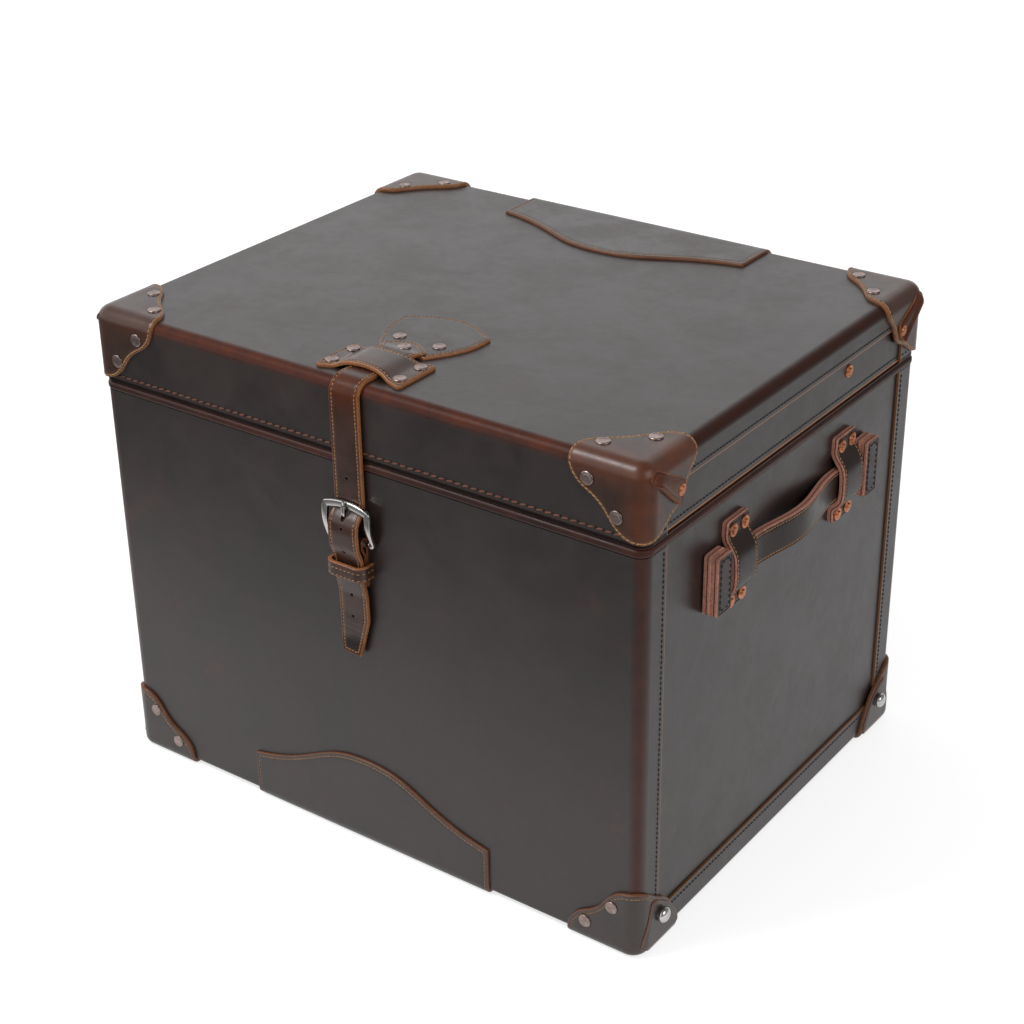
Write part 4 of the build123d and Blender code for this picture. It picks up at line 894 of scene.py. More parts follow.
def pleat(p):
    """The flap's lower edge is a raised fold, its upper edge lies down on the cap."""
    flat = columns(p[:, 1] + HALF_D, LID_TOP - p[:, 2])
    low, high, root = (gap(flat, np.array([DART[a]]), np.array([DART[b]])) for a,
                       b in ((0, -1), (1, 2), (0, 1)))
    fold, near_root = bell(low - 1.4, 2.2), bell(root, 5.0)
    sunk = 1.5 * bell(high, 3.0) + 2.0 * near_root * (1 - 0.5 * fold)
    return 1.8 * fold * (1 - 0.9 * near_root) - np.minimum(sunk, 2.1)


def corner_caps(label, body, level, down, outlines, look, sewn, nail_spots, flap):
    """A cap on three faces and the flap on its side, copied to the four corners, and its stitches."""
    place, lifts = on_block(body == "lid"), cap_lifts(level, down)
    zones, waves = [], []
    for (along, upright, wave), lift in zip(outlines, lifts):
        waves.append(cubic([(along, 0.0)] + wave + [(0.0, upright)], (0, 1), (-1, 0)))
        pieces = [(waves[-1], True), ([(0, upright), (0, 0)], False), ([(0, 0), (along, 0)], False)]
        zones.append((pieces, lift, []))
    cap = leather_sheet(label + "_leather", zones, place, CAP_THICK, look, None, "cap_leather", grid=1.7,
                        levels=WALL,
                        dents=[(lifts[face](np.array([at]))[0], *NAIL_DENT) for face, at in nail_spots],
                        sewn=sewn)
    outline, thick, leather_look, swell, dents = flap
    flap = leather_sheet(label + "_flap", [([(turned_loop(outline, 3.0), True)], lifts[2], [])], place, thick,
                         leather_look, None, "cap_leather", base=CAP_THICK - 0.1, grid=1.7,
                         levels=((0.8, 0.1),),
                         swell=swell, round_edge=0.8, sewn=1.5,
                         dents=[(lifts[2](np.array([at]))[0], *dent) for at, dent in dents])
    for piece, kind in ((cap, "leather"), (flap, "flap")):
        for sx, sy, corner in CORNERS:
            made = mirrored(piece, f"{label}_{kind}_{corner}", sx, -sy, body)
            if piece is cap:
                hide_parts(f"{label}_{corner}")
        bpy.data.objects.remove(piece)
    slant, template = (0.16, ROPE_STITCH) if body == "lid" else (0.0, THIN_STITCH)
    found = []
    for wave, lift in zip(waves, lifts):
        found += stitches_along(inner_lines([wave], sewn, 1), lift, place, CAP_THICK - THREAD_SUNK,
                                ROPE_PITCH, slant)
    turns = [one for stitch in found for sx, sy, _ in CORNERS for one in copied([stitch], sx, -sy)]
    scattered(f"{body}_cap_stitches", template, turns, tan_thread, body, "cap_leather")


face_spots = [(1, at) for at in FACE_NAILS]
corner_caps("lid_cap", "lid", LID_TOP, 1, [(CAP_ALONG, CAP_ALONG, TOP_WAVE),
                                           (CAP_ALONG, CAP_UPRIGHT, FACE_WAVE),
                                           (CAP_ALONG, CAP_UPRIGHT, SIDE_WAVE)],
            cap_leather, 1.6, face_spots + [(0, at) for at in TOP_NAILS],
            (DART, DART_THICK, flap_leather, pleat, [(DART_RIVET, (0.7, 4.6))]))
narrow_wave = [(a, b * FOOT_SIDE / CAP_ALONG) for a, b in TOP_WAVE]
corner_caps("base_cap", "trunk", BASE_Z, -1, [(CAP_ALONG, FOOT_SIDE, narrow_wave),
                                              (CAP_ALONG, CAP_UPRIGHT, FACE_WAVE),
                                              (FOOT_SIDE, CAP_UPRIGHT, FOOT_SIDE_WAVE)],
            foot_leather, 3.4, face_spots, (FOOT_FLAP, FOOT_FLAP_THICK, foot_leather, None, []))


# Nails, copper rivets and steel studs

NAIL = ring_solid([(5.1, -0.5), (5.15, 0.1), (5.0, 0.5), (4.6, 0.78), (4.0, 0.9), (3.4, 0.84), (2.9, 0.66),
                   (2.2, 0.6), (1.2, 0.66), (0.4, 0.7)])
BURR = ring_solid([(5.2, -0.3), (5.2, 0.65), (4.95, 1.05), (4.4, 1.2), (3.5, 1.16), (2.95, 1.05), (2.7, 1.3),
                   (2.62, 1.9), (2.25, 2.3), (1.5, 2.4), (0.9, 2.28), (0.4, 2.2)])
INNER_HEAD = ring_solid([(5.0, -0.2), (5.0, 0.7), (4.6, 1.1), (3.6, 1.2), (0.5, 1.2)])
FLAP_BURR = ring_solid([(4.5, -0.6), (4.5, 0.35), (4.2, 0.62), (3.5, 0.66), (2.9, 0.55), (2.7, 0.75),
                        (2.5, 1.0),
                        (1.8, 1.15), (0.9, 1.1), (0.4, 1.05)])
STUD = ring_solid([(4.7, -1.4), (4.7, 0.6), (5.0, 0.8), (5.9, 1.0), (6.3, 1.5), (6.4, 2.3), (6.15, 3.3),
                   (5.5, 4.3),
                   (4.4, 5.2), (3.0, 5.8), (1.5, 6.1), (0.4, 6.15)])
CAP_OUT = HALF_D + CAP_THICK
FLAP_OUT = HALF_W + CAP_THICK + DART_THICK - 0.6
FOOT_OUT = HALF_W + CAP_THICK + FOOT_FLAP_THICK
CHAPE_NAILS = [((0, -203.9, z), (0, -1, 0)) for z in (255.5, 243.8)]
SIDES = (-1, 1)
STAY_Y, STAY_Z = 86.0, 363.5
LINING_FACE, BOARD_FACE = 234.5, 236.5
LOOP_FACE, LOOP_Y, LOOP_RIVET_Y = 252.5, 81.0, 8.0
LOOP_RIVETS_Z = (307.5, 250.3)


def at_corners(spots, spot_at):
    return [spot_at(sx, sy, a, b) for sx, sy, _ in CORNERS for a, b in spots]


def fasteners(name, template, spots, look, body, slot, *stands_for):
    """Heads of one kind: spots are (place, way out)."""
    made = scattered(name, template, [(at, frame_of(out)) for at, out in spots], look, body, slot)
    if stands_for:
        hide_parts(*stands_for)


lid_nails = at_corners(TOP_NAILS, lambda sx, sy, a, b: (
    (sx * (HALF_W - a), sy * (HALF_D - b), LID_TOP + CAP_THICK), (0, 0, 1)))
lid_nails += at_corners(FACE_NAILS, lambda sx, sy, a,
                        b: ((sx * (HALF_W - a), sy * CAP_OUT, LID_TOP - b), (0, sy, 0)))
body_nails = at_corners(FACE_NAILS, lambda sx, sy, a,
                        b: ((sx * (HALF_W - a), sy * CAP_OUT, BASE_Z + b), (0, sy, 0)))
studs = at_corners([SIDE_STUD], lambda sx, sy, a, b: ((sx * FOOT_OUT, sy * (HALF_D - a), BASE_Z + b),
                                                      (sx, 0, 0)))
flap_rivets = at_corners([DART_RIVET], lambda sx, sy, a, b: (
    (sx * FLAP_OUT, sy * (HALF_D - a), LID_TOP - b), (sx, 0, 0)))
loop_spots = [(s, e, d, z) for s in SIDES for e in SIDES for d in (-LOOP_RIVET_Y,
                                                                   LOOP_RIVET_Y) for z in LOOP_RIVETS_Z]
loop_rivets = [((s * LOOP_FACE, e * LOOP_Y + d, z), (s, 0, 0)) for s, e, d, z in loop_spots]
on_lining = (1, LOOP_RIVET_Y, LOOP_RIVETS_Z[0])
loop_heads = [((s * (LINING_FACE if (e, d, z) == on_lining else BOARD_FACE), e * LOOP_Y + d, z), (-s, 0, 0))
              for s, e, d, z in loop_spots]
fasteners("lid_nail_heads", NAIL, lid_nails, pewter, "lid", "pewter_nails", "lid_nails")
fasteners("body_nail_heads", NAIL, body_nails + CHAPE_NAILS, pewter, "trunk", "pewter_nails", "body_nails")
fasteners("steel_feet_studs", STUD, studs, polished, "trunk", "polished_steel", "base_studs")
fasteners("lid_burrs", BURR, [((s * SIDE_FACE, STAY_Y, STAY_Z), (s, 0, 0)) for s in SIDES], copper, "lid",
          "copper",
          "lid_copper_rivets")
fasteners("flap_burrs", FLAP_BURR, flap_rivets, copper, "lid", "copper")
fasteners("handle_burrs", BURR, loop_rivets, copper, "trunk", "copper", "handle_rivets")
fasteners("rivet_heads_inside", INNER_HEAD, loop_heads, copper, "trunk", "copper")
fasteners("lid_rivet_heads_inside", INNER_HEAD, [((s * LINING_FACE, STAY_Y, STAY_Z),
                                                  (-s, 0, 0)) for s in SIDES],
          copper, "lid", "copper")


# Wavy patches

PATCH_HALF, PATCH_THICK, PATCH_WRAP, PATCH_SEWN = 116.5, 2.5, 24.0, 3.0
PATCH_RISES = [(PATCH_HALF, 38.5), (95.0, 43.5), (60.0, 57.5), (30.0, 71.0), (0.0, 75.0)]
PATCH_WALL = ((1.3, 0.12),)
REAR_EXTRA = 8.0


def wavy_patch(name, body, node, face_lift, wrap_lift, extra):
    """A patch with a wavy top edge, turned round the box's edge at its foot."""
    points = [(a, b + extra) for a, b in PATCH_RISES]
    points += [(-a, b) for a, b in points[-2::-1]]
    low_left, low_right = (-PATCH_HALF, 0.0), (PATCH_HALF, 0.0)
    wrap_left, wrap_right = (-PATCH_HALF, PATCH_WRAP), (PATCH_HALF, PATCH_WRAP)
    left, wave, right = np.array([points[-1], low_left]), cubic(points), np.array([low_right, points[0]])
    face = [(wave, True), (left, True), ([low_left, low_right], False), (right, True)]
    tail = [([low_left, wrap_left], True), ([wrap_left, wrap_right], True), ([wrap_right, low_right], True),
            ([low_right, low_left], False)]
    place = on_block(body == "lid")
    made = leather_sheet(name, [(face, face_lift, []), (tail, wrap_lift, [])], place, PATCH_THICK,
                         patch_leather, body,
                         "patch_leather", grid=2.6, levels=PATCH_WALL, sewn=PATCH_SEWN)
    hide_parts(node)
    turns = stitches_along(inner_lines([right, wave, left], PATCH_SEWN, 1), face_lift, place,
                           PATCH_THICK - THREAD_SUNK, ROPE_PITCH)
    scattered(name + "_stitches", THIN_STITCH, turns, tan_thread, body, "patch_leather")


wavy_patch("front_wavy_patch", "trunk", "front_patch", lambda p: columns(p[:, 0], -HALF_D, BASE_Z + p[:, 1]),
           lambda p: columns(p[:, 0], p[:, 1] - HALF_D, BASE_Z), 0.0)
wavy_patch("rear_wavy_patch", "lid", "rear_patch", lambda p: columns(p[:, 0], HALF_D - p[:, 1], LID_TOP),
           lambda p: columns(p[:, 0], HALF_D, LID_TOP - p[:, 1]), REAR_EXTRA)


# Shield, strap and bridge on the lid

SHIELD_HALF, SHIELD_FOOT = 40.0, (21.0, -137.0)
SHIELD_CORNER_Y, SHIELD_PEAK_Y = -82.5, -66.5
SHIELD_NAILS = [(18.3, -115.6), (-18.3, -115.6)]
waist = cubic([(SHIELD_HALF, SHIELD_CORNER_Y), (39.5, -100.0), (33.5, -117.0), SHIELD_FOOT])
crown = arc_through((-SHIELD_HALF, SHIELD_CORNER_Y), (0, SHIELD_PEAK_Y), (SHIELD_HALF, SHIELD_CORNER_Y))
shield_foot = np.array([SHIELD_FOOT, (-SHIELD_FOOT[0], SHIELD_FOOT[1])])
shield_lines = [crown, waist, shield_foot, waist[::-1] * (-1, 1)]
shield = leather_sheet("shield_leather", [([(line, True) for line in shield_lines], as_flat, [])],
                       flat_on(LID_TOP),
                       PATCH_THICK, crest_leather, "lid", "patch_leather", grid=2.2, levels=PATCH_WALL,
                       dents=[((x, y, 0), 0.45, 6.5) for x, y in SHIELD_NAILS])
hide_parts("shield_patch")
runs = inner_lines(shield_lines, STITCH_INSET, -1)
scattered("shield_stitches", STITCH,
          stitches_along(runs[:2] + runs[3:], as_flat, flat_on(LID_TOP), PATCH_THICK - THREAD_SUNK),
          tan_thread, "lid",
          "patch_leather")

STRAP_THICK, STRAP_SEWN = 3.4, 2.6
STRAP_LINE = [(-121.5, 401.5), (-139.5, 401.5), (-148.0, 399.0), (-202.7, 399.0), (-202.7, 300.0),
              (-211.4, 292.6),
              (-212.6, 284.0), (-211.8, 271.0), (-207.8, 260.5), (-207.5, 246.0), (-204.3, 230.0),
              (-203.9, 213.5),
              (-203.9, 176.0)]
ROOT_Z = 392.0
SKIVED, SKIVE_RUN = 2.1, 12.0
HOLES_Z = (324.1, 286.6, 267.6, 228.8, 210.2)
SLOT_TOP, SLOT_FOOT, SLOT_HALF = 299.0, 291.8, 1.9
strap_path = bent(STRAP_LINE, 11.5)
strap_place, strap_length = on_line(strap_path, lambda x, y, z: columns(x, y, z), -1.0, STRAP_THICK / 2)
strap_run = lengths(strap_path)
past_rim = strap_path[:, 1] < 385


def strap_at(z):
    """Distance along the strap to a height on its fall."""
    return float(np.interp(-z, -strap_path[past_rim, 1], strap_run[past_rim]))


def skived(p):
    """The strap's end is pared thin where it lies on the shield."""
    return -SKIVED * ease((2 * SKIVE_RUN - p[:, 1]) / SKIVE_RUN)


slot = turned_loop([(x, strap_at(z)) for x, z in ((-SLOT_HALF, SLOT_TOP), (SLOT_HALF, SLOT_TOP),
                                                  (SLOT_HALF, SLOT_FOOT), (-SLOT_HALF, SLOT_FOOT))], 1.8)
strap_holes = [circle(1.3, 14, 0, strap_at(z)) for z in HOLES_Z] + [even(slot, 1.0)[:-1]]
end_curve = cubic([(20.0, 10.5), (0.0, 0.0), (-20.0, 10.5)])
neck = bent([(-20.0, 10.5), (-STRAP_HALF, 28.9), (-STRAP_HALF, 60.0)], 4.0)
tip = bent([(-STRAP_HALF, 60.0), (-12.4, strap_length - 1.5), (4.6, strap_length),
            (13.6, strap_length - 32.0),
            (STRAP_HALF, 60.0)], 0.8)
strap_lines = [end_curve, np.vstack([neck, tip[1:], neck[::-1][1:] * (-1, 1)])]
strap = leather_sheet("strap", [([(line, True) for line in strap_lines], as_flat, strap_holes)], strap_place,
                      STRAP_THICK, strap_leather, None, "strap_leather", grid=2.0,
                      levels=((2.6, 0.15), (1.2, 0.15)),
                      swell=skived, sewn=STRAP_SEWN)
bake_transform(strap)
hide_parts("strap_root", "strap_fall")
root_turns, fall_turns = [], []
for run in inner_lines(strap_lines, STRAP_SEWN, -1):
    breaks = np.where(np.linalg.norm(np.diff(run, axis=0), axis=1) > 2.0)[0] + 1
    parts = [part for part in np.split(run, breaks) if len(part) > 2]
    for at, turn in stitches_along(parts, as_flat, strap_place, STRAP_THICK - THREAD_SUNK):
        if at[2] > ROOT_Z:
            root_turns.append((at - np.array([0, 0, SKIVED * ease((at[1] + 145.5) / SKIVE_RUN)]), turn))
        else:
            fall_turns.append((at, turn))
scattered("strap_root_stitches", STITCH, root_turns, tan_thread, "lid", "strap_leather")
fall_stitches = scattered("strap_fall_stitches", STITCH, fall_turns, tan_thread, None, "strap_leather")
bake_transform(fall_stitches)

BRIDGE_THICK, BRIDGE_HALF = 3.0, 38.5
BRIDGE_NEAR_Y, BRIDGE_NEAR_MID_Y, BRIDGE_FAR_Y, BRIDGE_FAR_MID_Y = -189.6, -179.8, -143.4, -149.3
BRIDGE_NAILS = [(s * 31.0, y) for s in SIDES for y in (-153.6, -177.6)]
STRAP_END_NAIL = (0, -133.5, 401.5)
ARCH_FOOT, ARCH_RUN, ARCH_RISE, CROWN_RISE = 27.0, 14.5, 4.15, 0.7


def bridge_place(p, h):
    """On the lid, arched over the strap."""
    x = np.abs(p[:, 0])
    t = np.clip((ARCH_FOOT - x) / ARCH_RUN, 0, 1)
    rise = ARCH_RISE * ease(t) + CROWN_RISE * np.clip(1 - (x / 14) ** 2, 0, 1)
    slope = -ARCH_RISE * 6 * t * (1 - t) / ARCH_RUN * np.sign(p[:, 0])
    scale = 1 / np.sqrt(1 + slope ** 2)
    return columns(p[:, 0] - slope * scale * h, p[:, 1], LID_TOP + rise + scale * h)


bridge_rim = turned_loop(np.vstack([
    arc_through((-BRIDGE_HALF, BRIDGE_NEAR_Y), (0, BRIDGE_NEAR_MID_Y), (BRIDGE_HALF, BRIDGE_NEAR_Y), 9),
    arc_through((BRIDGE_HALF, BRIDGE_FAR_Y), (0, BRIDGE_FAR_MID_Y), (-BRIDGE_HALF, BRIDGE_FAR_Y), 9)]), 3.0)
bridge = leather_sheet("bridge_leather", [([(bridge_rim, True)], as_flat, [])], bridge_place, BRIDGE_THICK,
                       strap_leather, "lid", "strap_leather", grid=2.0, levels=WALL,
                       dents=[((x, y, 0), *NAIL_DENT) for x, y in BRIDGE_NAILS])
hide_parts("strap_bridge")
scattered("bridge_stitches", STITCH,
          stitches_along(inner_lines([bridge_rim], STITCH_INSET, 1), as_flat, bridge_place,
                         BRIDGE_THICK - THREAD_SUNK), tan_thread, "lid", "strap_leather")
top_spots = [(x, y, LID_TOP + PATCH_THICK) for x, y in SHIELD_NAILS]
top_spots += [(x, y, LID_TOP + BRIDGE_THICK) for x, y in BRIDGE_NAILS] + [STRAP_END_NAIL]
fasteners("strap_nail_heads", NAIL, [(at, (0, 0, 1)) for at in top_spots], pewter, "lid", "pewter_nails",
          "strap_nails")


# Keeper loop

KEEPER_LOW, KEEPER_HIGH, KEEPER_THICK, KEEPER_HALF = 246.0, 257.6, 3.0, 16.6
KEEPER_BACK, KEEPER_FRONT = -199.3, -213.2
KEEPER_SEAMS_Z, KEEPER_PITCH = (247.8, 253.4), 3.6
keeper_path = bent([(-KEEPER_HALF, KEEPER_BACK), (-KEEPER_HALF, KEEPER_FRONT), (KEEPER_HALF, KEEPER_FRONT),
                    (KEEPER_HALF, KEEPER_BACK)], 6.5)
keeper_place, keeper_length = on_line(keeper_path, lambda z, x, y: columns(x, y, z), -1.0, KEEPER_THICK / 2)
keeper_rim = [([(KEEPER_LOW, 0), (KEEPER_HIGH, 0)], False),
              ([(KEEPER_HIGH, 0), (KEEPER_HIGH, keeper_length)], True),
              ([(KEEPER_HIGH, keeper_length), (KEEPER_LOW, keeper_length)], False),
              ([(KEEPER_LOW, keeper_length), (KEEPER_LOW, 0)], True)]
keeper = leather_sheet("keeper_leather", [(keeper_rim, as_flat, [])], keeper_place, KEEPER_THICK,
                       strap_leather,
                       "trunk", "strap_leather", grid=1.5, levels=((1.5, 0.1),), groove=False)
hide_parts("strap_keeper")
scattered("keeper_stitches", STITCH,
          stitches_along([[(z, 1.0), (z, keeper_length - 1.0)] for z in KEEPER_SEAMS_Z], as_flat,
                         keeper_place,
                         KEEPER_THICK - 0.1, KEEPER_PITCH), tan_thread, "trunk", "strap_leather")


# Buckle

BAR_Z, RAIL_Z, RAIL_ARCH, HEEL_Z = 275.0, 300.6, 3.4, 273.3
BAR_OFF, RAIL_OFF, ARM_BOW = 3.85, 7.2, 2.0
BAR_HALF, HEEL_X, ARM_X = 16.0, 20.5, 19.6


def section_sweep(path, outs, sizes, closed, bevel=0.24):
    """Bar of a bevelled section along a path: outs are the in-plane ways out, sizes (width, thickness)."""
    way = np.roll(path, -1, axis=0) - np.roll(path, 1, axis=0)
    if not closed:
        way[0], way[-1] = path[1] - path[0], path[-1] - path[-2]
    third = np.cross(unit(way), outs)
    corner = []
    for sx, sy in ((1, 1), (-1, 1), (-1, -1), (1, -1)):
        arc = [(sx * (0.5 - bevel * (1 - math.cos(a))), sy * (0.5 - bevel * (1 - math.sin(a))))
               for a in np.linspace(0, math.pi / 2, 4)]
        corner += arc if sx * sy > 0 else arc[::-1]
    return bar([[at + out * u * w + up * v * t for u, v in corner]
                for at, out, up, (w, t) in zip(path, outs, third, sizes)], closed)


ring = turned_loop([(-BAR_HALF, BAR_Z), (-HEEL_X, HEEL_Z), (-ARM_X, RAIL_Z), (ARM_X, RAIL_Z),
                    (HEEL_X, HEEL_Z),
                    (BAR_HALF, BAR_Z)], 1.4)[:-1]
rise = (ring[:, 1] - BAR_Z) / (RAIL_Z - BAR_Z)
ring[:, 1] += RAIL_ARCH * (1 - (ring[:, 0] / ARM_X) ** 2) * np.clip((rise - 0.6) / 0.3, 0, 1)
rise = np.clip(rise, 0, 1)
off = BAR_OFF + (RAIL_OFF - BAR_OFF) * rise + ARM_BOW * np.sin(math.pi * rise)
way = unit(np.roll(ring, -1, axis=0) - np.roll(ring, 1, axis=0))
on_bar = np.clip(1 - np.abs(ring[:, 1] - BAR_Z) / 2.5, 0, 1)
on_bar = on_bar * np.clip((17.5 - np.abs(ring[:, 0])) / 3.0, 0, 1)
ring_bar = section_sweep(columns(ring[:, 0], -HALF_D - off, ring[:, 1]), columns(-way[:, 1], 0.0, way[:, 0]),
                         columns(4.0 + 1.5 * rise - on_bar, 3.4 - 0.3 * on_bar), True)
buckle_ring = add_piece("buckle_ring", *ring_bar, polished, "buckle", "polished_steel", sharp=60.0)
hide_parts("buckle_frame")

PRONG_LINE = [(3.95, 277.4), (4.2, 286.0), (8.8, 293.0), (11.1, 298.8), (10.8, 304.0), (10.2, 308.6)]
PRONG_WIDTH, PRONG_THICK = 3.2, 2.3
prong_path = bent(PRONG_LINE, 5.0, 0.7)
taper = np.clip((1 - np.linspace(0, 1, len(prong_path))) / 0.12, 0.25, 1) ** 0.5
prong_bar = section_sweep(columns(0.0, -HALF_D - prong_path[:, 0], prong_path[:, 1]),
                          columns(1.0, np.zeros(len(prong_path)), 0.0),
                          columns(PRONG_WIDTH * taper, PRONG_THICK * taper), False, 0.42)
prong = add_piece("buckle_tongue", *prong_bar, polished, "prong", "polished_steel", sharp=60.0)
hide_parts("buckle_prong")


# Handles, their loops and stop blocks

GRIP_X, GRIP_Z, GRIP_THICK, BLOCK_THICK, LOOP_THICK = 248.5, 277.0, 6.0, 6.0, 5.0
BOW_HALF, BOW_RISE = 60.0, 3.75
GRIP_HALF, GRIP_END, STOP_HALF = 13.0, 121.0, 23.5
SHOULDER, SHOULDER_OUT = 101.3, 101.6
BLOCK_IN, BLOCK_OUT, BLOCK_HALF = 101.7, 120.8, 23.3
LAYERED_WALL = ((4.4, 0.12), (3.3, 0.1), (3.0, -0.35), (2.7, 0.1), (1.4, 0.12))
LOOP_LINE = [(250.0, 315.5), (250.0, 309.0), (250.2, 302.5), (253.8, 296.3), (257.2, 290.5), (258.3, 283.5),
             (258.5, 277.0), (258.3, 270.0), (257.0, 263.6), (253.7, 259.5), (250.2, 255.0), (250.0, 250.0),
             (250.0, 244.0)]
LOOP_HALF, LOOP_SEAM, LOOP_SEAM_END = 15.0, 12.7, 4.0
GRIP_SEAM, GRIP_SEAM_END = 10.6, 97.0
BLOCK_SEAM = [(105.0, -19.3), (117.0, -19.3), (117.0, 19.3), (105.0, 19.3), (105.0, -19.3)]


def bowed(p, h):
    """On the handle: flat points are (along y, up from the grip's middle)."""
    turn = np.pi * np.clip(p[:, 0] / BOW_HALF, -1, 1)
    slope = -BOW_RISE * np.pi / BOW_HALF * np.sin(turn)
    scale = 1 / np.sqrt(1 + slope ** 2)
    return columns(GRIP_X + BOW_RISE * (1 + np.cos(turn)) + scale * h, p[:, 0] - slope * scale * h,
                   GRIP_Z + p[:, 1])


def beyond_grip(p, h):
    return columns(GRIP_X + GRIP_THICK + h, p[:, 0], GRIP_Z + p[:, 1])


def handle_part(name, outline, place, thick, grid=2.2, levels=LAYERED_WALL):
    return leather_sheet(name, [([(outline, True)], as_flat, [])], place, thick, handle_leather, None,
                         "strap_leather", grid=grid, levels=levels)


half_outline = [(SHOULDER, -GRIP_HALF), (SHOULDER_OUT, -STOP_HALF), (GRIP_END, -STOP_HALF),
                (GRIP_END, STOP_HALF),
                (SHOULDER_OUT, STOP_HALF), (SHOULDER, GRIP_HALF)]
grip = handle_part("grip", turned_loop([(-y, -z) for y, z in half_outline] + half_outline, 2.2), bowed,
                   GRIP_THICK)
block_outline = turned_loop([(BLOCK_IN, -BLOCK_HALF), (BLOCK_OUT, -BLOCK_HALF), (BLOCK_OUT, BLOCK_HALF),
                             (BLOCK_IN, BLOCK_HALF)], 2.2)
block = handle_part("block", block_outline, beyond_grip, BLOCK_THICK)
loop_place, loop_length = on_line(even(cubic(LOOP_LINE), 0.6), lambda y, x, z: columns(x, y, z), 1.0,
                                  LOOP_THICK / 2)
loop_outline = turned_loop([(-LOOP_HALF, 0.0), (LOOP_HALF, 0.0), (LOOP_HALF, loop_length),
                            (-LOOP_HALF, loop_length)],
                           3.0)
handle_loop = handle_part("loop", loop_outline, loop_place, LOOP_THICK, 1.8, ((3.4, 0.12), (2.0, 0.1)))
grip_turns = stitches_along([even([(-GRIP_SEAM_END, s * GRIP_SEAM), (GRIP_SEAM_END, s * GRIP_SEAM)], 2.0)
                             for s in (1, -1)], as_flat, bowed, GRIP_THICK - THREAD_SUNK)
block_turns = stitches_along(zip(BLOCK_SEAM, BLOCK_SEAM[1:]), as_flat, beyond_grip, BLOCK_THICK - 0.1, 4.4)
loop_turns = stitches_along([even([(x, LOOP_SEAM_END), (x, loop_length - LOOP_SEAM_END)], 2.0)
                             for x in (-LOOP_SEAM, LOOP_SEAM)], as_flat, loop_place, LOOP_THICK - THREAD_SUNK)

for sx, name in ((1, "right"), (-1, "left")):
    body = "handle_" + name
    made = mirrored(grip, "handle_grip_" + name, sx, 1, body)
    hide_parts("handle_strap_" + name)
    scattered("handle_grip_stitches_" + name, STITCH, copied(grip_turns, sx, 1), tan_thread, body,
              "strap_leather")
    for sy, end in ((1, "back"), (-1, "front")):
        made = mirrored(block, f"handle_block_{end}_{name}", sx, sy, body)
        if sy > 0:
            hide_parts("handle_stops_" + name)
        scattered(f"handle_block_stitches_{end}_{name}", HEAVY_STITCH, copied(block_turns, sx, sy),
                  black_thread, body,
                  "strap_leather")
        made = mirrored(handle_loop, f"handle_loop_{end}_{name}", sx, 1, "trunk")
        made.data.transform(Matrix.Translation((0, sy * LOOP_Y * MM, 0)))
        if sy > 0:
            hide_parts("handle_loops_" + name)
        scattered(f"handle_loop_stitches_{end}_{name}", STITCH, copied(loop_turns, sx, 1, sy * LOOP_Y),
                  tan_thread,
                  "trunk", "strap_leather")
for piece in (grip, block, handle_loop):
    bpy.data.objects.remove(piece)


# Stay straps inside: laid out straight as at the open lid, then folded back along its turn to lie as they do
# when it is shut

HINGE_Y, HINGE_Z, OPEN_TURN = 203.3, 338.75, math.radians(105)
STAY_HALF, STAY_END, STAY_THICK = 8.0, 9.0, 2.0
STAY_FOOT = np.array([73.0, 307.5])
STAY_BEND_LOW, STAY_BEND_HIGH = 312.0, 359.0
STAY_TRIES = 800


def turned_back(y, z, turn):
    """Where a point of the lid's side comes from, before a turn on the hinge."""
    y, z = y - HINGE_Y, z - HINGE_Z
    c, s = np.cos(turn), np.sin(turn)
    return HINGE_Y + y * c - z * s, HINGE_Z + y * s + z * c


open_way = np.array(turned_back(STAY_Y, STAY_Z, -OPEN_TURN)) - STAY_FOOT
stay_length = float(np.linalg.norm(open_way))
open_way /= stay_length


def stay_place(side):
    """On a straight strap at the open lid, each point turned back by the share of the turn that it takes."""
    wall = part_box("lid_stay_right")[1][0] / MM

    def place(p, h):
        y = STAY_FOOT[0] + p[:, 1] * open_way[0] - p[:, 0] * open_way[1]
        z = STAY_FOOT[1] + p[:, 1] * open_way[1] + p[:, 0] * open_way[0]
        share = np.linspace(0, 1, STAY_TRIES + 1)[:, None]
        _, back_z = turned_back(y[None, :], z[None, :], share * OPEN_TURN)
        ahead = ease((back_z - STAY_BEND_LOW) / (STAY_BEND_HIGH - STAY_BEND_LOW)) - share > 0
        last = np.where(ahead.any(axis=0), STAY_TRIES - np.argmax(ahead[::-1], axis=0), -1)
        turn = np.clip(last + 0.5, 0, STAY_TRIES) / STAY_TRIES * OPEN_TURN
        return columns(side * (wall - h), *turned_back(y, z, np.where(last < 0, 0.0, turn)))
    return place


for side, name in ((1, "right"), (-1, "left")):
    outline = turned_loop([(-STAY_HALF, -STAY_END), (STAY_HALF, -STAY_END),
                           (STAY_HALF, stay_length + STAY_END),
                           (-STAY_HALF, stay_length + STAY_END)], 2.0)
    stay = leather_sheet("stay_" + name, [([(outline, True)], as_flat, [])], stay_place(side), STAY_THICK,
                         strap_leather, None, "strap_leather", grid=2.5, levels=((1.0, 0.05),), groove=False)
    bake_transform(stay)
    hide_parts("lid_stay_" + name)


# Seams on the panels

RIGHT, FRONT = (1, 0, 0), (0, -1, 0)
OTHER_SIDE, OTHER_FACE = ((-1, 1),), ((1, -1),)
OTHER_CORNERS = ((-1, 1), (1, -1), (-1, -1))
SEAM_END_Y, EDGE_SEAM_Y = 171.0, 175.8
FOOT_SEAM_Z, LID_SEAM_Z, FLAP_SEAM_Z = 22.5, 345.5, 377.0
CHAIN_PITCH, CHAIN_END = 6.8, 231.0


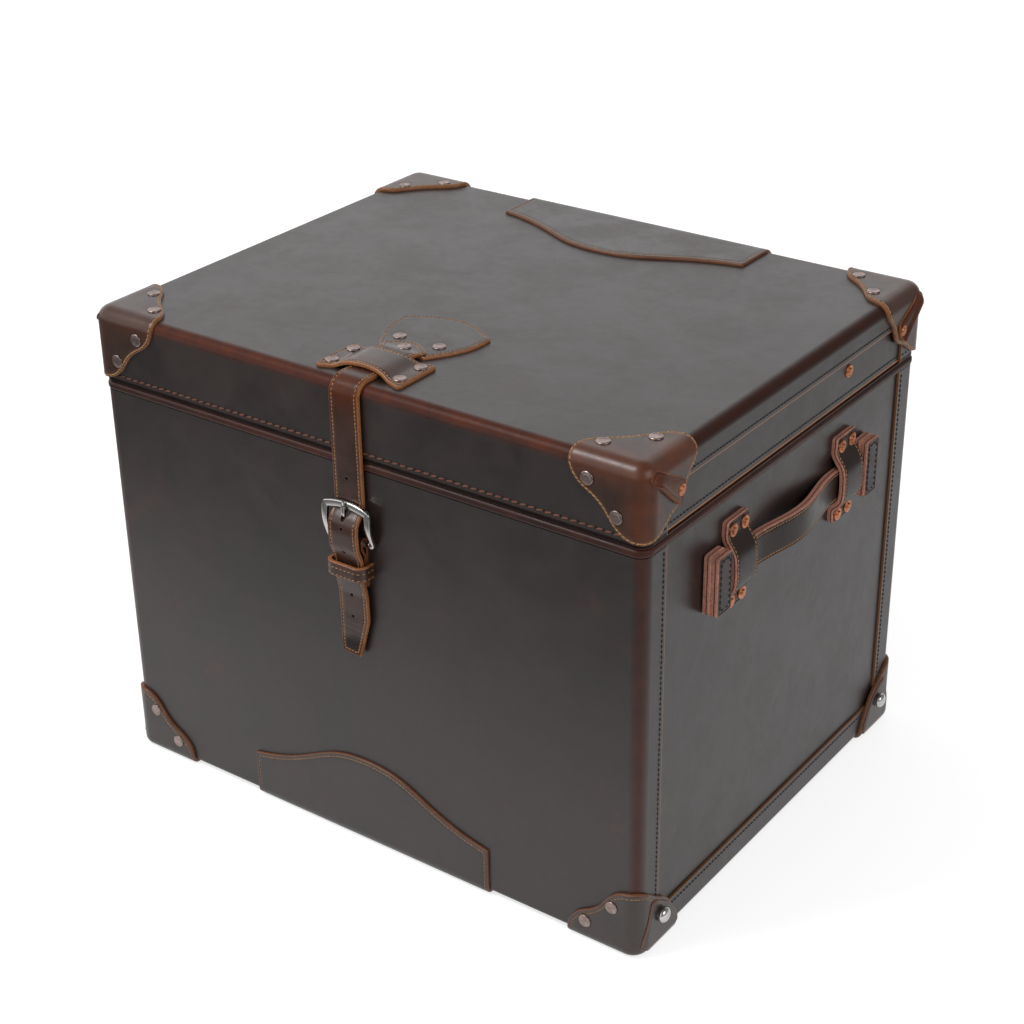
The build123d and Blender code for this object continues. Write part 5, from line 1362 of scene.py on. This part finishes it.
def seam(name, start, stop, out, thread, body, copies, pitch=4.2, slant=0.0, template=HEAVY_STITCH):
    """A straight row of stitches between two points, and its mirror images."""
    start, stop, out = (np.array(v, float) for v in (start, stop, out))
    length = np.linalg.norm(stop - start)
    along = (stop - start) / length
    count = int(length / pitch)
    turn = spun(frame_of(out, along), slant)
    turns = [(start + along * length * (i + 0.5) / count, turn) for i in range(count)]
    for sx, sy in copies:
        turns = turns + copied(turns[:count], sx, sy)
    scattered(name, template, turns, thread, body, "panel_leather")


for name, x, ys, zs, body, copies in (
        ("side_seam_stitches", HALF_W, (-EDGE_SEAM_Y, -EDGE_SEAM_Y), (30, 329), "trunk", OTHER_CORNERS),
        ("foot_strip_stitches", HALF_W, (-SEAM_END_Y, SEAM_END_Y), (FOOT_SEAM_Z, FOOT_SEAM_Z), "trunk",
         OTHER_SIDE),
        ("lid_flap_stitches", HALF_W, (-SEAM_END_Y, SEAM_END_Y), (FLAP_SEAM_Z, FLAP_SEAM_Z), "lid",
         OTHER_SIDE),
        ("lid_band_stitches", SIDE_FACE, (-SEAM_END_Y, SEAM_END_Y), (LID_SEAM_Z, LID_SEAM_Z), "lid",
         OTHER_SIDE),
        ("lid_flank_stitches", HALF_W, (-189, -172.5), (LID_SEAM_Z, LID_SEAM_Z), "lid", OTHER_CORNERS)):
    seam(name, (x, ys[0], zs[0]), (x, ys[1], zs[1]), RIGHT, dark_thread, body, copies)
seam("lid_face_stitches", (-CHAIN_END, -HALF_D, LID_SEAM_Z), (CHAIN_END, -HALF_D, LID_SEAM_Z), FRONT,
     lid_thread,
     "lid", OTHER_FACE, CHAIN_PITCH, 0.2, stitch_solid(6.4, 1.5, 1.5))
# painted shade: dark solids between the chain stitches stand in for the shadow in the stitch holes
seam("lid_face_hole_shade", (-CHAIN_END - CHAIN_PITCH / 2, -HALF_D - 0.1, LID_SEAM_Z),
     (CHAIN_END - CHAIN_PITCH / 2, -HALF_D - 0.1, LID_SEAM_Z), FRONT, dark_thread, "lid", OTHER_FACE,
     CHAIN_PITCH,
     -0.9, stitch_solid(2.6, 1.7, 1.8))


# Floor, light and camera

WHITE = (1, 1, 1, 1)


def backdrop(name):
    """White floor: half its own light for the eye, half lit, so the shadow stays. Reflections see a lit table
    that darkens far off."""
    look = Look(name)
    ray = look.node("LightPath").outputs
    glossy = ray["Is Glossy Ray"]
    x, y, z = look.axes()
    front = look.span(look.minus(-0.2, y), 0.05, 0.55, 1.0, 0.05)
    table = look.times(front, look.span(look.size(x), 0.45, 0.95, 1.0, 0.12))
    eye_glow = look.most(ray["Is Camera Ray"], ray["Is Transmission Ray"], look.times(glossy, table))
    shown_glow = look.span(glossy, 0.0, 1.0, 0.7, 0.52)
    glow = look.node("Emission", {"Color": WHITE, "Strength": look.times(eye_glow, shown_glow)})
    cloudy = look.mix(look.noise(2.0), (0.88, 0.88, 0.88, 1), (0.9, 0.9, 0.9, 1))
    dull = look.mix(eye_glow, cloudy, (0.5, 0.5, 0.5, 1))
    dull = look.mix(look.times(glossy, look.minus(1.0, table)), dull, (0.12, 0.12, 0.12, 1))
    matt = look.node("BsdfDiffuse", {"Color": dull})
    both = look.node("AddShader", {0: glow.outputs[0], 1: matt.outputs[0]})
    look.put(look.tree.nodes["Material Output"].inputs["Surface"], both.outputs[0])
    return look.mat


def studio(world):
    """White to the eye and in reflections, dimmer overhead and to the right in reflections only, with
    a softer light for all else."""
    sky = Nodes(world.node_tree)
    ray = sky.node("LightPath").outputs
    seen = sky.most(ray["Is Camera Ray"], ray["Is Glossy Ray"], ray["Is Transmission Ray"])
    way = sky.node("SeparateXYZ", {0: sky.node("TexCoord").outputs["Generated"]}).outputs
    overhead = sky.span(way["Z"], 0.6, 0.85, 1.0, 0.3, "LINEAR")
    rightward = sky.span(way["X"], -0.1, 0.25, 1.12, 0.3, "LINEAR")
    shown = sky.most(sky.times(overhead, rightward), ray["Is Camera Ray"])
    background = world.node_tree.nodes["Background"]
    sky.put(background.inputs["Strength"], sky.node("Mix", {0: seen, 2: 0.62, 3: shown}).outputs[0])
    sky.put(background.inputs["Color"], WHITE)


def softbox(name, at, aim, size, power):
    lamp = bpy.data.lights.new(name, "AREA")
    lamp.shape = "RECTANGLE"
    lamp.size = lamp.size_y = size
    lamp.energy = power
    obj = bpy.data.objects.new(name, lamp)
    obj.location = at
    obj.rotation_euler = (Vector(aim) - Vector(at)).to_track_quat("-Z", "Y").to_euler()
    bpy.context.scene.collection.objects.link(obj)


REACH = 9.0
floor_mesh = bpy.data.meshes.new("floor")
floor_mesh.from_pydata([(-REACH, -REACH, 0), (REACH, -REACH, 0), (REACH, REACH, 0), (-REACH, REACH, 0)], [],
                       [(0, 1, 2, 3)])
floor = bpy.data.objects.new("floor", floor_mesh)
bpy.context.scene.collection.objects.link(floor)
floor_mesh.materials.append(backdrop("floor_white"))

world = bpy.data.worlds.new("studio")
bpy.context.scene.world = world
world.use_nodes = True
studio(world)
AIM = (0, 0, 0.2)
softbox("key", (-0.98, -1.36, 2.38), AIM, 0.8, 29.0)
softbox("fill", (2.4, -0.6, 1.5), AIM, 1.6, 14.0)

EYE = Vector((0.8573, -1.1783, 0.9720))
YAW, PITCH, ROLL = (math.radians(a) for a in (36.13, 27.65, -0.834))
FOCAL_PIXELS, PICTURE_PIXELS = 2016.7, 1024
SENSOR = 36.0
ahead = Vector((-math.sin(YAW) * math.cos(PITCH), math.cos(YAW) * math.cos(PITCH), -math.sin(PITCH)))
right = Vector((math.cos(YAW), math.sin(YAW), 0))
upward = right.cross(ahead)
camera_x = right * math.cos(ROLL) + upward * math.sin(ROLL)
camera_y = -right * math.sin(ROLL) + upward * math.cos(ROLL)
lens = bpy.data.cameras.new("camera")
lens.sensor_width = SENSOR
lens.lens = FOCAL_PIXELS / PICTURE_PIXELS * SENSOR
lens.clip_start, lens.clip_end = 0.05, 50.0
camera = bpy.data.objects.new("camera", lens)
camera.matrix_world = Matrix.Translation(EYE) @ Matrix((camera_x, camera_y, -ahead)).transposed().to_4x4()
bpy.context.scene.collection.objects.link(camera)
bpy.context.scene.camera = camera
bpy.context.scene.view_settings.view_transform = "Standard"
